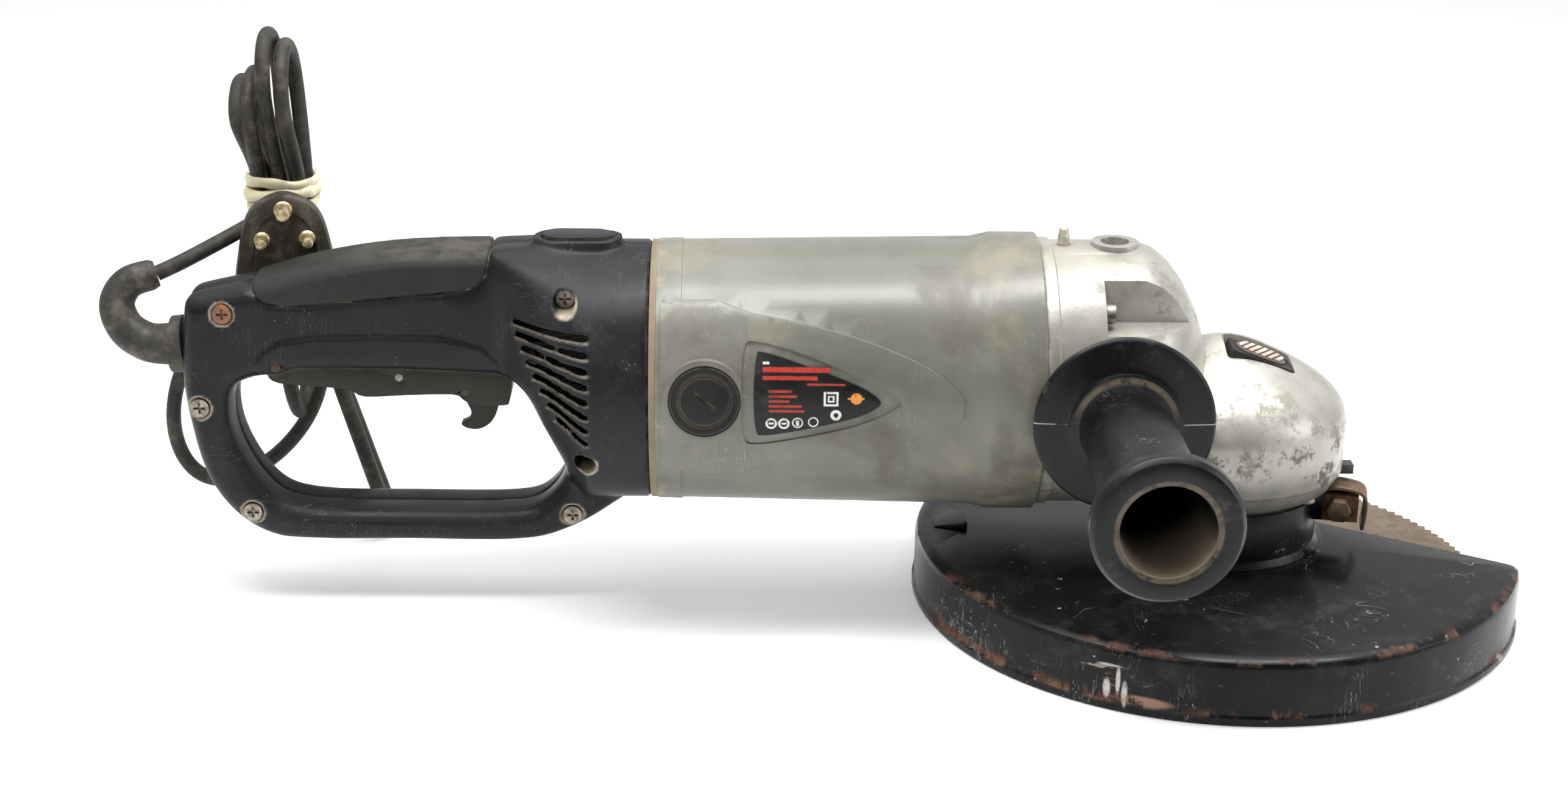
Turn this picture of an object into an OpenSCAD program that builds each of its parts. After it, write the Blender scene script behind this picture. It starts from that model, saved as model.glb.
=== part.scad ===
// Large angle grinder with a D-shaped rear handle that turns about the motor axis,
// a side handle, a clamped disc guard and a 230 mm disc, standing on the guard's rim.
// +X runs from the rear handle to the gear head, +Y to the side without a side handle.
// Every module is drawn with the spindle axis at X = 0, Y = 0 and the rim at Z = 0,
// then moved so that the origin is below the middle of the tool's box.

/* [Motor body] */
// Height of the motor axis above the guard's rim
axis_z = 100; // [99.5:0.25:101]
// Radius of the motor housing at the rear handle
body_rear_r = 53.5; // [53:0.25:54]
// Radius of the motor housing behind the flare
body_front_r = 56; // [55.5:0.25:56.5]
// Radius of the flare that meets the gear head
flare_r = 57.5; // [57:0.25:58.5]
// Roll of the brushes and side panels about the motor axis
brush_roll = 5.5; // [4:0.5:7]

/* [Gear head] */
// Radius of the high part of the gear head about the motor axis
head_r = 54.5; // [54:0.25:55]
// Radius of the low dome about the spindle
dome_r = 51; // [50.5:0.25:51.5]
// Distance from the spindle to the side handle's axis
side_x = 51.4; // [50.9:0.1:51.9]
// Core radius of the M14 handle threads
thread_r = 5.9; // [5.8:0.05:6]

/* [Disc and guard] */
// Diameter of the disc
disc_d = 230; // [226:1:232]
// Outer radius of the guard
guard_r = 127; // [126:0.5:129]
// Height of the guard's top plate
guard_h = 27.6; // [27:0.2:28]
// Thickness of the guard's sheet
sheet_t = 2.4; // [2:0.1:2.6]
// Distance from the spindle to the guard's straight cut
cut_r = 33.3; // [32.5:0.1:34]
// Direction of the cut, from +X
cut_a = 58; // [56:1:60]

/* [Rear handle] */
// Half the width of the D-shaped frame
grip_w = 17; // [16.5:0.25:17.5]
// Rounding of the D-shaped frame's edges
grip_r = 7; // [6:0.5:7]
// Wall of the handle's shells
shell_t = 3; // [2.8:0.1:3.2]

/* [Side handle] */
// Radius of the hand guard
hand_r = 35.9; // [35:0.1:37]
// Radius of the end flange
flange_r = 27.8; // [27:0.1:28.5]
// Radius of the grip beside the hand guard
side_grip_r = 18; // [17.5:0.1:18.5]

/* [Gears] */
// Teeth on the crown gear
crown_n = 37; // [37:1:37]
// Teeth on the pinion
pinion_n = 10; // [10:1:10]

/* [Cord] */
// Diameter of the mains cord
cord_d = 6.5; // [6:0.1:7]

/* [Hidden] */
$fn = 96;
eps = 0.01;
gap = 0.3;                 // clearance between faces of pieces that move
run = 0.04;                // radial clearance of a running shaft
rear_x = -431;             // rear end of the handle
side_end_y = -173;         // free end of the side handle
lip_r = guard_r + 0.9;     // rolled lip of the guard's skirt
box_x = [rear_x, lip_r * cos(cut_a - acos(cut_r / lip_r))];
box_y = [side_end_y, disc_d / 2];

seam_x = -239;             // front face of the rear handle
body_x = -236;             // rear shoulder of the motor housing
head_x = -81;              // front face of the motor housing
brush_x = -216.5;          // brushes and brush caps
seam_z = 62;               // joint between the gear head and the bearing cover
neck_r = 39.2;             // bearing cover's neck, which the guard turns on
collar_r = 42;             // guard's collar
disc_z = 7;                // underside of the disc
disc_t = 3;
bore_r = 11.1;             // disc's 22.2 mm bore
shaft_r = 7.5;
spindle_r = 10;
lock_x = 11.5;             // spindle lock's pin
lock_y = -7.3;
lock_pin_r = 3;
lock_hole_r = 3.4;
trigger_pivot = [-392, 104.5];
lock_off_pivot = [-315.8, 92];

// ---- shared shapes -------------------------------------------------------------

module placed() {
  translate([-(box_x[0] + box_x[1]) / 2, -(box_y[0] + box_y[1]) / 2, 0]) children();
}

// Local +Z along +X on the motor axis, starting at x
module on_axis(x) {
  translate([x, 0, axis_z]) rotate([0, 90, 0]) children();
}

// Revolves a profile of [x, radius] points about the motor axis
module turned_x(profile) {
  on_axis(0) rotate_extrude() polygon([for (p = profile) [p[1], p[0]]]);
}

// Revolves a profile of [radius, z] points about the spindle axis
module turned_z(profile) {
  rotate_extrude() polygon(profile);
}

module rod_y(x, y0, z, r, len) {
  translate([x, y0, z]) rotate([-90, 0, 0]) cylinder(r = r, h = len);
}

// Extrudes a side view of x and z along Y, from y0 over w
module side_slab(y0, w) {
  translate([0, y0 + w, 0]) rotate([90, 0, 0]) linear_extrude(w) children();
}

module pipe(r_out, r_in, h) {
  difference() {
    cylinder(r = r_out, h = h);
    translate([0, 0, -1]) cylinder(r = r_in, h = h + 2);
  }
}

function curve_at(a, b, c, d, t) = 0.5 * (2 * b + (c - a) * t
  + (2 * a - 5 * b + 4 * c - d) * t * t + (3 * b - a - 3 * c + d) * t * t * t);

// A closed smooth outline through the points, with n steps to each
function ring_curve(p, n) = [for (i = [0 : len(p) - 1], k = [0 : n - 1])
  curve_at(p[(i + len(p) - 1) % len(p)], p[i], p[(i + 1) % len(p)],
    p[(i + 2) % len(p)], k / n)];

// An open smooth path through the points, with n steps to each
function path_curve(p, n) = concat([for (i = [0 : len(p) - 2], k = [0 : n - 1])
  curve_at(p[max(i - 1, 0)], p[i], p[i + 1], p[min(i + 2, len(p) - 1)], k / n)],
  [p[len(p) - 1]]);

function unit(v) = v / norm(v);
function way(p, i) = unit(p[min(i + 1, len(p) - 1)] - p[max(i - 1, 0)]);
function upright(t, n) = unit(n - (n * t) * t);
function frames(p, i, n) = i >= len(p) ? [] :
  concat([upright(way(p, i), n)], frames(p, i + 1, upright(way(p, i), n)));

// A tube along a path: one radius for each point, as a closed polyhedron
module swept(p, radii, sides, first = [0, 1, 0]) {
  f = frames(p, 0, first);
  rings = len(p);
  pts = [for (i = [0 : rings - 1], k = [0 : sides - 1])
    p[i] + radii[i] * (cos(360 * k / sides) * f[i]
      + sin(360 * k / sides) * cross(way(p, i), f[i]))];
  sides_f = [for (i = [0 : rings - 2], k = [0 : sides - 1])
    [i * sides + k, (i + 1) * sides + k,
     (i + 1) * sides + (k + 1) % sides, i * sides + (k + 1) % sides]];
  end_a = [[for (k = [0 : sides - 1]) k]];
  end_b = [[for (k = [sides - 1 : -1 : 0]) (rings - 1) * sides + k]];
  polyhedron(points = pts, faces = concat(sides_f, end_a, end_b), convexity = 10);
}

// A compression spring standing on z = 0
module coil_spring(r, wire_r, h, turns) {
  steps = 12;
  p = [for (i = [0 : turns * steps])
    [r * cos(360 * i / steps), r * sin(360 * i / steps),
     wire_r + (h - 2 * wire_r) * i / (turns * steps)]];
  swept(p, [for (q = p) wire_r], 6, [0, 0, 1]);
}

// Pan-head screw along +Z with its head's underside at z = 0 and a cross recess
module pan_screw(head_r, head_h, r, len) {
  difference() {
    union() {
      cylinder(r = head_r, h = head_h);
      translate([0, 0, -len]) cylinder(r = r, h = len + eps);
    }
    for (a = [0, 90]) rotate([0, 0, a])
      translate([-head_r * 0.6, -0.5, head_h - 1.2]) cube([head_r * 1.2, 1, 2]);
  }
}

// ---- motor body ----------------------------------------------------------------

body_side = [[body_x, body_rear_r - 0.6], [body_x + 0.6, body_rear_r],
  [-108, body_front_r - 0.3], [-100, flare_r], [head_x - 0.6, flare_r],
  [head_x, flare_r - 0.6]];

// The motor housing's outer solid, grown by d
module body_solid(d = 0) {
  turned_x(concat([[body_x, 0]], [for (p = body_side) [p[0], p[1] + d]], [[head_x, 0]]));
}

arrow = ring_curve([[-230, 36], [-198, 33], [-168, 27.5], [-147, 21.5], [-127, 13],
  [-115, 2.5], [-114, -4], [-118, -9], [-148, -19.5], [-180, -26], [-230, -30]], 4);
arrow_outline = concat([[-234, 36.5]], [for (p = arrow) if (p[0] > -230.5) p], [[-234, -30.5]]);
teardrop = ring_curve([[-201, 20], [-196, 23], [-176, 18], [-152, 8.5], [-140, 1.5],
  [-141, -3], [-156, -10], [-178, -15.5], [-197, -18.5], [-201, -14], [-202, 2]], 4);
label_edge = ring_curve([[-196, 17], [-193, 19], [-176, 14], [-156, 6.5], [-147.5, 1],
  [-148.5, -2.5], [-158, -7], [-178, -12], [-193, -14.5], [-196, -12], [-197, 2]], 4);

// Both sides of the motor housing, rolled by the brushes' angle
module both_sides() {
  for (a = [0, 180])
    translate([0, 0, axis_z]) rotate([a - brush_roll, 0, 0]) children();
}

module raised_panel(outline, low, high) {
  both_sides() intersection() {
    translate([0, -40, 0]) rotate([90, 0, 0]) linear_extrude(30) polygon(outline);
    translate([0, 0, -axis_z]) difference() {
      body_solid(high);
      body_solid(low);
    }
  }
}

module motor_housing() {
  cap_r = 14.4;             // recess for a brush cap
  bar_n = 8;                // air openings round the rear bearing
  color("#7b7d75") placed() difference() {
    union() {
      body_solid();
      raised_panel(arrow_outline, -1, 1.2);
      // rear band with a curved front edge
      intersection() {
        turned_x([[body_x, 50], [body_x, body_rear_r + 0.4], [-226, body_rear_r + 0.7],
          [-225, 50]]);
        turned_x([[body_x - 1, 0], [body_x - 1, 60], [-220, 60], [-220, 0]]);
      }
      both_sides() translate([brush_x, -40, 0]) rotate([90, 0, 0])
        cylinder(r = cap_r + 2.2, h = 16.2);
      // neck and lip that the rear handle turns on
      turned_x([[-250, 0], [-250, 48.2], [-246.4, 48.2], [-246.4, 46], [body_x, 46],
        [body_x, 0]]);
    }
    // hollow with the rear bearing's wall and the screw bosses left in
    difference() {
      turned_x([[-230, 0], [-230, 49], [-110, 51], [-84, 51], [-84, 52.5],
        [head_x + 1, 52.5], [head_x + 1, 0]]);
      at_head_screws(-101) cylinder(r = 5, h = 20);
    }
    at_head_screws(-98) cylinder(r = head_screw_r + gap / 3, h = 20);
    turned_x([[-251, 18], [-251, 43], [-234, 43], [-234, 18]]);
    turned_x([[-251, 0], [-251, 10], [-246, 10], [-246, 13.03], [-237, 13.03],
      [-237, 9], [-229, 9], [-229, 0]]);
    for (i = [0 : bar_n - 1]) on_axis(-235)
      rotate([0, 0, 360 * (i + 0.5) / bar_n]) translate([31, 0, 0]) cylinder(r = 9, h = 6);
    raised_panel(teardrop, 0.4, 3);
    both_sides() translate([brush_x, -30, 0]) rotate([90, 0, 0]) cylinder(r = 9, h = 40);
    both_sides() translate([brush_x, -54.4, 0]) rotate([90, 0, 0])
      cylinder(r = cap_r, h = 10);
  }
}

module swivel_ring() {
  color("#b5a386") placed() turned_x([[seam_x + gap, 46.1], [seam_x + gap, body_rear_r],
    [body_x - eps, body_rear_r], [body_x - eps, 46.1]]);
}

module brush_caps() {
  color("#1c1d1e") placed() both_sides() translate([brush_x, -54.4, 0])
    rotate([90, 0, 0]) difference() {
      union() {
        cylinder(r = 14, h = 1.6);
        pipe(13.4, 11.2, 2.2);
        cylinder(r = 9.3, h = 2.4);
        translate([0, 0, -6]) cylinder(r = 8.6, h = 7);
      }
      rotate([0, 0, -38]) translate([-5.4, -1, 1]) cube([10.8, 2, 3]);
    }
}

module brush_holders() {
  color("#b8963e") placed() both_sides() translate([brush_x, -46, 0])
    rotate([90, 0, 0]) translate([-4.5, -7, -26]) difference() {
      cube([9, 14, 27]);
      translate([1, 1, -1]) cube([7, 12, 29]);
    }
}

module carbon_brushes() {
  color("#2b2b2d") placed() both_sides() translate([brush_x, -17.5, 0])
    rotate([90, 0, 0]) translate([-3.4, -5.9, 0]) cube([6.8, 11.8, 14]);
}

module brush_springs() {
  color("#9a9da0") placed() both_sides() translate([brush_x, -31.7, 0])
    rotate([90, 0, 0]) coil_spring(2.4, 0.4, 15, 4);
}

module label_plates() {
  color("#141414") placed() raised_panel(label_edge, 0.4 + eps, 0.9);
}

stator_x = -190;
core_len = 60;

module stator_core() {
  color("#6d6f72") placed() difference() {
    on_axis(stator_x) cylinder(r = 48.6, h = core_len);
    on_axis(stator_x - 1) cylinder(r = 26.2, h = core_len + 2);
    for (s = [-1, 1]) translate([stator_x - 1, s * 34 - 7, axis_z - 16])
      cube([core_len + 2, 14, 32]);
  }
}

module field_coils() {
  color("#a4592e") placed() for (s = [-1, 1]) difference() {
    translate([stator_x - 9, s * 34 - 6.4, axis_z - 15.4]) cube([core_len + 18, 12.8, 30.8]);
    translate([stator_x - 0.5, s * 34 - 8, axis_z - 6]) cube([core_len + 1, 16, 12]);
  }
}

module air_baffle() {
  color("#2a2b2c") placed() turned_x([[-112, 36], [-112, 50.8], [-109, 50.8],
    [-109, 36]]);
}

module rear_bearing() {
  color("#8d9094") placed() turned_x([[-246, 5 + run], [-246, 13], [-237, 13],
    [-237, 11], [-238, 10.4], [-238, 6.6], [-237, 6], [-237, 5 + run]]);
}

module front_bearing() {
  color("#8d9094") placed() turned_x([[-70, shaft_r + run], [-70, 17.5], [-59, 17.5],
    [-59, 15.6], [-60, 15], [-60, 10], [-59, 9.4], [-59, shaft_r + run]]);
}

// ---- gear head -----------------------------------------------------------------

head_side = [[head_x + 0.2, 0], [head_x + 0.2, head_r + 1], [-76, head_r + 1],
  [-75.4, head_r], [-40, head_r], [-33, 52], [-27, 47.3], [-21, 39.5], [-15, 28],
  [-11, 16], [-9.5, 0]];
top_x = -49.4;             // handle thread on the top
stub_x = -70.5;
bushing_r = 7.5;
bushing_top = 102.5;
dome_side = [[0, seam_z], [dome_r, seam_z], [dome_r, 83], [49.6, 88.5], [46.5, 93],
  [41, 98], [33, 103], [24, 107.6], [14, 112.3], [6, 115], [0, 116]];
cover_side = [[0, 54], [44, 54], [47, 55.5], [dome_r - 0.5, seam_z - 0.6], [dome_r - 1, seam_z],
  [0, seam_z]];

// Screws that hold the gear head to the motor housing, as [y, z]
head_screw_at = [[-34, axis_z + 35.5], [34, axis_z + 35.5], [-43, axis_z - 25],
  [43, axis_z - 25]];
head_screw_r = 2.4;
head_screw_x = -57;        // underside of the screws' heads
cover_screw_at = [[31, 31], [-31, 31], [31, -31], [-31, -31]];

module at_head_screws(x) {
  for (p = head_screw_at) translate([x, p[0], p[1]]) rotate([0, 90, 0]) children();
}

// Bosses for the side handle's two threads
module side_bosses() {
  for (y0 = [-58, 40]) rod_y(-side_x, y0, axis_z, 13, 18);
}

// Open recess in the casting above each upper screw
module screw_pockets() {
  for (y0 = [-60, 27]) translate([head_screw_x, y0, axis_z + 30]) cube([60, 33, 30]);
}

module gear_housing() {
  color("#a9aaa6") placed() difference() {
    union() {
      turned_x(head_side);
      turned_z(dome_side);
      side_bosses();
      translate([top_x, 0, 130]) cylinder(r = 9.6, h = 26);
    }
    // underside beside the bearing cover
    side_slab(-70, 140) polygon([[-62, 30], [-53, seam_z], [60, seam_z], [60, 30]]);
    // room for the gears and the pinion's bearing
    turned_z([[0, 50], [40, 50], [40, 92.5], [36, 93.5], [23, 95.5], [20, 95.5], [18, 92],
      [0, 92]]);
    on_axis(-59.5) cylinder(r = 15, h = 47);
    on_axis(head_x - 1) cylinder(r = 45, h = 9);
    on_axis(-74) cylinder(r = 17.5, h = 15);
    // upper bushing
    translate([0, 0, 91]) cylinder(r = bushing_r, h = bushing_top - 91);
    // handle threads
    for (y0 = [-60, 41]) rod_y(-side_x, y0, axis_z, thread_r, 19);
    translate([top_x, 0, 141]) cylinder(r = thread_r, h = 20);
    // screws
    screw_pockets();
    at_head_screws(head_x - 2) cylinder(r = head_screw_r + gap / 3, h = 27);
    at_head_screws(head_screw_x) cylinder(r = 4.6, h = 60);
    for (p = cover_screw_at) translate([p[0], p[1], 50]) cylinder(r = 2, h = 27);
    // lock button's recess, spring seat and pin hole
    lock_recess();
    translate([lock_x, lock_y, lock_spring_z - 0.2]) cylinder(r = 4.9, h = 12);
    translate([lock_x, lock_y, 88]) cylinder(r = lock_pin_r + 0.06, h = 30);
    translate([stub_x, 0, 140]) cylinder(r = 2.5, h = 20);
  }
}

pad_tilt = 20;
pad_z = 107.6;
lock_spring_z = 99.2;

// Places the lock button's slab on the dome's slope
module on_pad() {
  translate([lock_x, lock_y, pad_z]) rotate([0, pad_tilt, 0]) children();
}

module pad_stadium(half, r, z0, h) {
  hull() for (s = [-1, 1]) translate([s * half, 0, z0]) cylinder(r = r, h = h, $fn = 40);
}

module pad_block(half_x, half_y, z0, h) {
  corner = 2;
  hull() for (x = [-1, 1], y = [-1, 1])
    translate([x * (half_x - corner), y * (half_y - corner), z0]) cylinder(r = corner, h = h);
}

module lock_recess() {
  intersection() {
    translate([lock_x, lock_y, 0]) pad_block(14.2, 9, 90, 40);
    on_pad() translate([-40, -20, -4.6]) cube([80, 40, 40]);
  }
}

module breather_stub() {
  color("#b9ad93") placed() translate([stub_x, 0, axis_z + head_r - 3.9]) rotate_extrude()
    polygon([[0, 0], [2.4, 0], [2.4, 7.6], [2.1, 8.4], [1.9, 10.6], [1, 11.6], [0, 11.8]]);
}

module housing_screws() {
  shank = 40;
  color("#5e5a52") placed() at_head_screws(head_screw_x) difference() {
    union() {
      cylinder(r = 4, h = 4);
      translate([0, 0, -shank]) cylinder(r = head_screw_r, h = shank + 1);
    }
    translate([0, 0, 2]) cylinder(r = 2.2, h = 3, $fn = 6);
  }
}

module bearing_cover() {
  color("#9c9d98") placed() difference() {
    union() {
      turned_z(cover_side);
      turned_z([[0, 31], [neck_r - 1.5, 31], [neck_r, 32.5], [neck_r, 54.5], [0, 54.5]]);
      // stop for the guard's clamp
      translate([50, -9, 57.6]) cube([5.4, 6, 4]);
    }
    turned_z([[0, 30], [30, 30], [30, 36], [13, 36], [13, 40], [20, 40], [20, 52], [24, 55],
      [24, 63], [0, 63]]);
    for (p = cover_screw_at) translate([p[0], p[1], 50]) cylinder(r = 2, h = 14);
    for (p = cover_screw_at) translate([p[0], p[1], 50]) cylinder(r = 4, h = 6.2);
  }
}

module cover_screws() {
  color("#5e5a52") placed() for (p = cover_screw_at) translate([p[0], p[1], 56.2])
    rotate([180, 0, 0]) pan_screw(3.7, 2, 1.9, 16);
}

module spindle_lower_bearing() {
  color("#8d9094") placed() turned_z([[spindle_r + run, 40], [20, 40], [20, 52],
    [17.5, 52], [16.8, 51], [13.2, 51], [12.4, 52], [spindle_r + run, 52]]);
}

module spindle_upper_bushing() {
  color("#b8963e") placed() turned_z([[5 + run, 94], [bushing_r, 94],
    [bushing_r, bushing_top], [5 + run, bushing_top]]);
}

module side_handle() {
  ring_w = 4.2;
  color("#26282b") placed() translate([-side_x, 0, axis_z]) rotate([90, 0, 0])
    difference() {
      rotate_extrude() polygon([[0, 62], [14, 60.5], [24, 62], [hand_r - 1, 62.6],
        [hand_r, 63.6], [hand_r, 65.2], [hand_r - 1, 66.2], [24, 67],
        [side_grip_r + ring_w, 67.4], [side_grip_r + ring_w, 69], [side_grip_r + 0.6, 70],
        [side_grip_r, 76], [18.6, 120], [19.6, 145], [21.5, 156], [25.5, 161.5],
        [flange_r - 0.8, 163.4], [flange_r, 165], [flange_r, 170.4],
        [flange_r - 1.6, 172.4], [flange_r - 4, 173], [19, 173], [17.6, 172.2], [0, 172.2]]);
      rotate_extrude() polygon([[0, 86], [12, 86], [13, 88], [15.4, 140], [16.8, 169],
        [17.8, 174], [0, 174]]);
      translate([0, 0, 58]) cylinder(r = 6.96, h = 26);
    }
}

module side_handle_stud() {
  color("#7a756b") placed() translate([-side_x, 0, axis_z]) rotate([90, 0, 0]) {
    translate([0, 0, 44]) cylinder(r = thread_r - 0.05, h = 16.3);
    translate([0, 0, 60.2]) cylinder(r = 6.95, h = 22);
  }
}

module spindle_lock_button() {
  rib_n = 3;
  color("#3a3936") placed() {
    on_pad() pad_block(13.4, 8.4, -1.6, 4.2);
    translate([lock_x, lock_y, 89.5]) cylinder(r = lock_pin_r, h = 18);
    on_pad() pad_stadium(4, 6.8, 2, 1.4);
    on_pad() intersection() {
      pad_stadium(3.8, 6.4, 3, 1.3);
      rotate([0, 0, -30]) for (i = [-rib_n : rib_n])
        translate([i * 2.6 - 0.8, -12, 3]) cube([1.6, 24, 1.3]);
    }
  }
}

module spindle_lock_spring() {
  color("#9a9da0") placed() translate([lock_x, lock_y, lock_spring_z])
    coil_spring(4.2, 0.4, 5, 3);
}

// ---- armature and spindle --------------------------------------------------------

module armature_shaft() {
  color("#8a8c8e") placed() turned_x([[-248, 0], [-248, 5], [-236.5, 5], [-236.5, 6],
    [-100, 6], [-100, shaft_r], [-44, shaft_r], [-44, 4.6], [-16, 4.6], [-16, 4],
    [-13.6, 4], [-13.6, 0]]);
}

module armature_core() {
  color("#5f6164") placed() difference() {
    on_axis(stator_x) cylinder(r = 25.5, h = core_len);
    on_axis(stator_x - 1) cylinder(r = 6, h = core_len + 2);
    for (i = [0 : 11]) on_axis(stator_x - 1) rotate([0, 0, 30 * i])
      translate([20, -1.2, 0]) cube([7, 2.4, core_len + 2]);
  }
}

module armature_windings() {
  color("#a4592e") placed() {
    turned_x([[-203, 6], [-203, 15], [-199, 20], [-190.1, 21], [-190.1, 6]]);
    turned_x([[-129.9, 6], [-129.9, 21], [-121, 20], [-117, 15], [-117, 6]]);
  }
}

module commutator() {
  color("#b06a3c") placed() difference() {
    turned_x([[-229, 6], [-229, 15], [-228, 17], [-204.5, 17], [-204, 15], [-204, 6]]);
    for (i = [0 : 23]) on_axis(-230) rotate([0, 0, 15 * i]) translate([15.6, -0.3, 0])
      cube([3, 0.6, 27]);
  }
}

module cooling_fan() {
  blades = 11;
  fan_r = 42.5;
  color("#d8d4c6") placed() {
    difference() {
      turned_x([[-104, 6], [-104, 12], [-92, 12], [-90, fan_r], [-88, fan_r],
        [-88, 6]]);
      on_axis(-105) cylinder(r = 7.5, h = 20);
    }
    for (i = [0 : blades - 1]) on_axis(-104) rotate([0, 0, 360 * i / blades])
      translate([20, -0.8, 0]) rotate([0, 0, 24]) cube([20, 1.6, 14.8]);
  }
}

apex_far = 37;              // outer cone distance of the bevel gears
apex_near = 24;             // inner cone distance
tooth_pitch = 360 / crown_n;

// A bevel tooth's section at the outer end, as wide as w0 at the root
module tooth(w0, w1, low, high) {
  polygon([[-w0 / 2, low], [w0 / 2, low], [w1 / 2, high], [-w1 / 2, high]]);
}

module bevel_pinion() {
  color("#77797c") placed() difference() {
    on_axis(-apex_far) linear_extrude(apex_far - apex_near, scale = apex_near / apex_far)
      union() {
        circle(r = 7.6, $fn = 40);
        for (i = [0 : pinion_n - 1]) rotate(90 + 360 * i / pinion_n)
          tooth(3, 1.1, 6, 11.4);
      }
    on_axis(-apex_far - 1) cylinder(r = 4.6, h = 20);
  }
}

module pinion_nut() {
  color("#77797c") placed() difference() {
    on_axis(-23.5) cylinder(r = 6.3, h = 5.5, $fn = 6);
    on_axis(-24.5) cylinder(r = 4.6, h = 8);
  }
}

module crown_gear() {
  color("#77797c") placed() difference() {
    union() {
      turned_z([[spindle_r, 74], [16, 74], [20, 79], [apex_far + 0.6, 82],
        [apex_far + 0.6, 87.2], [apex_near - 2, 91.2], [18, 91.2], [17, 88.6],
        [spindle_r, 88.6]]);
      for (i = [0 : crown_n - 1])
        translate([0, 0, axis_z]) rotate([0, 0, tooth_pitch * i])
          translate([apex_far, 0, 0]) rotate([0, -90, 0]) rotate([0, 0, -90])
            linear_extrude(apex_far - apex_near, scale = apex_near / apex_far)
              tooth(2.7, 1.1, -13.2, -9);
    }
    for (i = [0 : 3]) rotate([0, 0, 90 * i]) translate([lock_x, lock_y, 60])
      cylinder(r = lock_hole_r, h = 40);
    translate([spindle_r - 2, -2, 70]) cube([5, 4, 30]);
  }
}

module spindle() {
  color("#8a8c8e") placed() difference() {
    turned_z([[0, 2.6], [6, 2.6], [7, 3.6], [7, 16], [12, 16], [12, 39.6], [spindle_r, 39.6],
      [spindle_r, 88.6], [8, 90], [5, 91.5], [5, bushing_top - 0.5], [0, bushing_top - 0.5]]);
    translate([spindle_r - 2, -2, 74]) cube([5, 4, 14.2]);
  }
}

module spindle_key() {
  color("#77797c") placed() translate([spindle_r - 2, -2, 74.2]) cube([4.9, 4, 13.8]);
}

module inner_flange() {
  color("#6f6a62") placed() turned_z([[7, disc_z + disc_t], [21, disc_z + disc_t],
    [21, 13], [15, 16], [7, 16]]);
}

module cutting_disc() {
  color("#6f6154") placed() translate([0, 0, disc_z]) difference() {
    cylinder(r = disc_d / 2, h = disc_t);
    translate([0, 0, -1]) cylinder(r = bore_r, h = 5);
  }
}

module flange_nut() {
  color("#6f6a62") placed() difference() {
    turned_z([[7, 1.6], [14, 1.6], [16, 4.4], [20.5, 4.8], [20.5, disc_z], [11, disc_z],
      [11, 9.6], [7, 9.6]]);
    for (i = [0 : 3]) rotate([0, 0, 90 * i]) translate([17.5, 0, 0]) cylinder(r = 1.8, h = 6);
  }
}

// ---- guard ----------------------------------------------------------------------

lug_a = -12;
lug_z = 39.5;

module guard() {
  color("#1b1c1e") placed() {
    difference() {
      union() {
        difference() {
          turned_z([[43, guard_h - sheet_t], [121, guard_h - sheet_t], [guard_r - 3.4, 24.2],
            [guard_r - sheet_t, 22.4], [guard_r - sheet_t, 0], [guard_r, 0], [guard_r, 0.4],
            [lip_r, 1], [lip_r, 3.4], [guard_r, 4.4], [guard_r, 23.8], [guard_r - 0.9, 26],
            [guard_r - 3, 27.3], [121, guard_h], [43, guard_h]]);
          rotate([0, 0, cut_a]) translate([cut_r, -150, -5]) cube([150, 300, 60]);
        }
        turned_z([[neck_r + gap, guard_h - sheet_t - 0.4], [46, guard_h - sheet_t - 0.4],
          [46, guard_h + 0.3], [collar_r + 2, guard_h + 0.8], [collar_r, 31],
          [collar_r, 51], [neck_r + gap, 51]]);
        // clamp lugs
        rotate([0, 0, lug_a]) for (y = [-6.6, 3]) translate([40.5, y, lug_z])
          cube([18.5, 3.6, 11.3]);
      }
      rotate([0, 0, lug_a]) translate([30, -2, 36]) cube([20, 4, 30]);
      rotate([0, 0, lug_a]) rod_y(51, -10, lug_z + 6, 3.1, 20);
    }
    // pressed tab near the rim, open towards the spindle
    rotate([0, 0, 176]) difference() {
      hull() {
        translate([105, -7, guard_h - 0.5]) cube([1, 14, 3.7]);
        translate([118, -6, guard_h - 0.5]) cube([1, 12, 0.9]);
      }
      translate([104, -5, guard_h + 0.05]) cube([7, 10, 1.9]);
    }
  }
}

module guard_clamp_bolt() {
  color("#6b5540") placed() rotate([0, 0, lug_a]) translate([51, 0, lug_z + 6]) {
    rotate([90, 0, 0]) translate([0, 0, -9]) cylinder(r = 3, h = 18);
    rotate([90, 0, 0]) translate([0, 0, 6.62]) cylinder(r = 5.2, h = 5, $fn = 6);
    rotate([-90, 0, 0]) translate([0, 0, 6.62]) cylinder(r = 5.2, h = 4, $fn = 6);
  }
}

// ---- rear handle ----------------------------------------------------------------

barrel_x = -262;            // where the round front of the handle starts
pad_t = 2.4;                // thickness of the grip pad
handle_edge = ring_curve([[-429, 126], [-427.5, 131.5], [-422, 133.5], [-403, 138],
  [-376, 146], [-344, 151.4], [-306, 153.2], [-270, 153.4], [-250, 140], [-246, 100],
  [-248, 54], [-256, 42.5], [-276, 31], [-296, 26.6], [-340, 26.6], [-381, 26.6],
  [-399, 29], [-414, 39.5], [-424.5, 57], [-430, 84], [-431, 104]], 4);
window_edge = ring_curve([[-411, 92], [-410.5, 72], [-399, 50], [-382, 42], [-340, 41],
  [-296, 41.4], [-282, 47], [-274.5, 60], [-277, 73], [-285, 89], [-297, 99.6],
  [-340, 102], [-380, 102.2], [-392, 99.6], [-403, 98]], 4);

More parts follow.
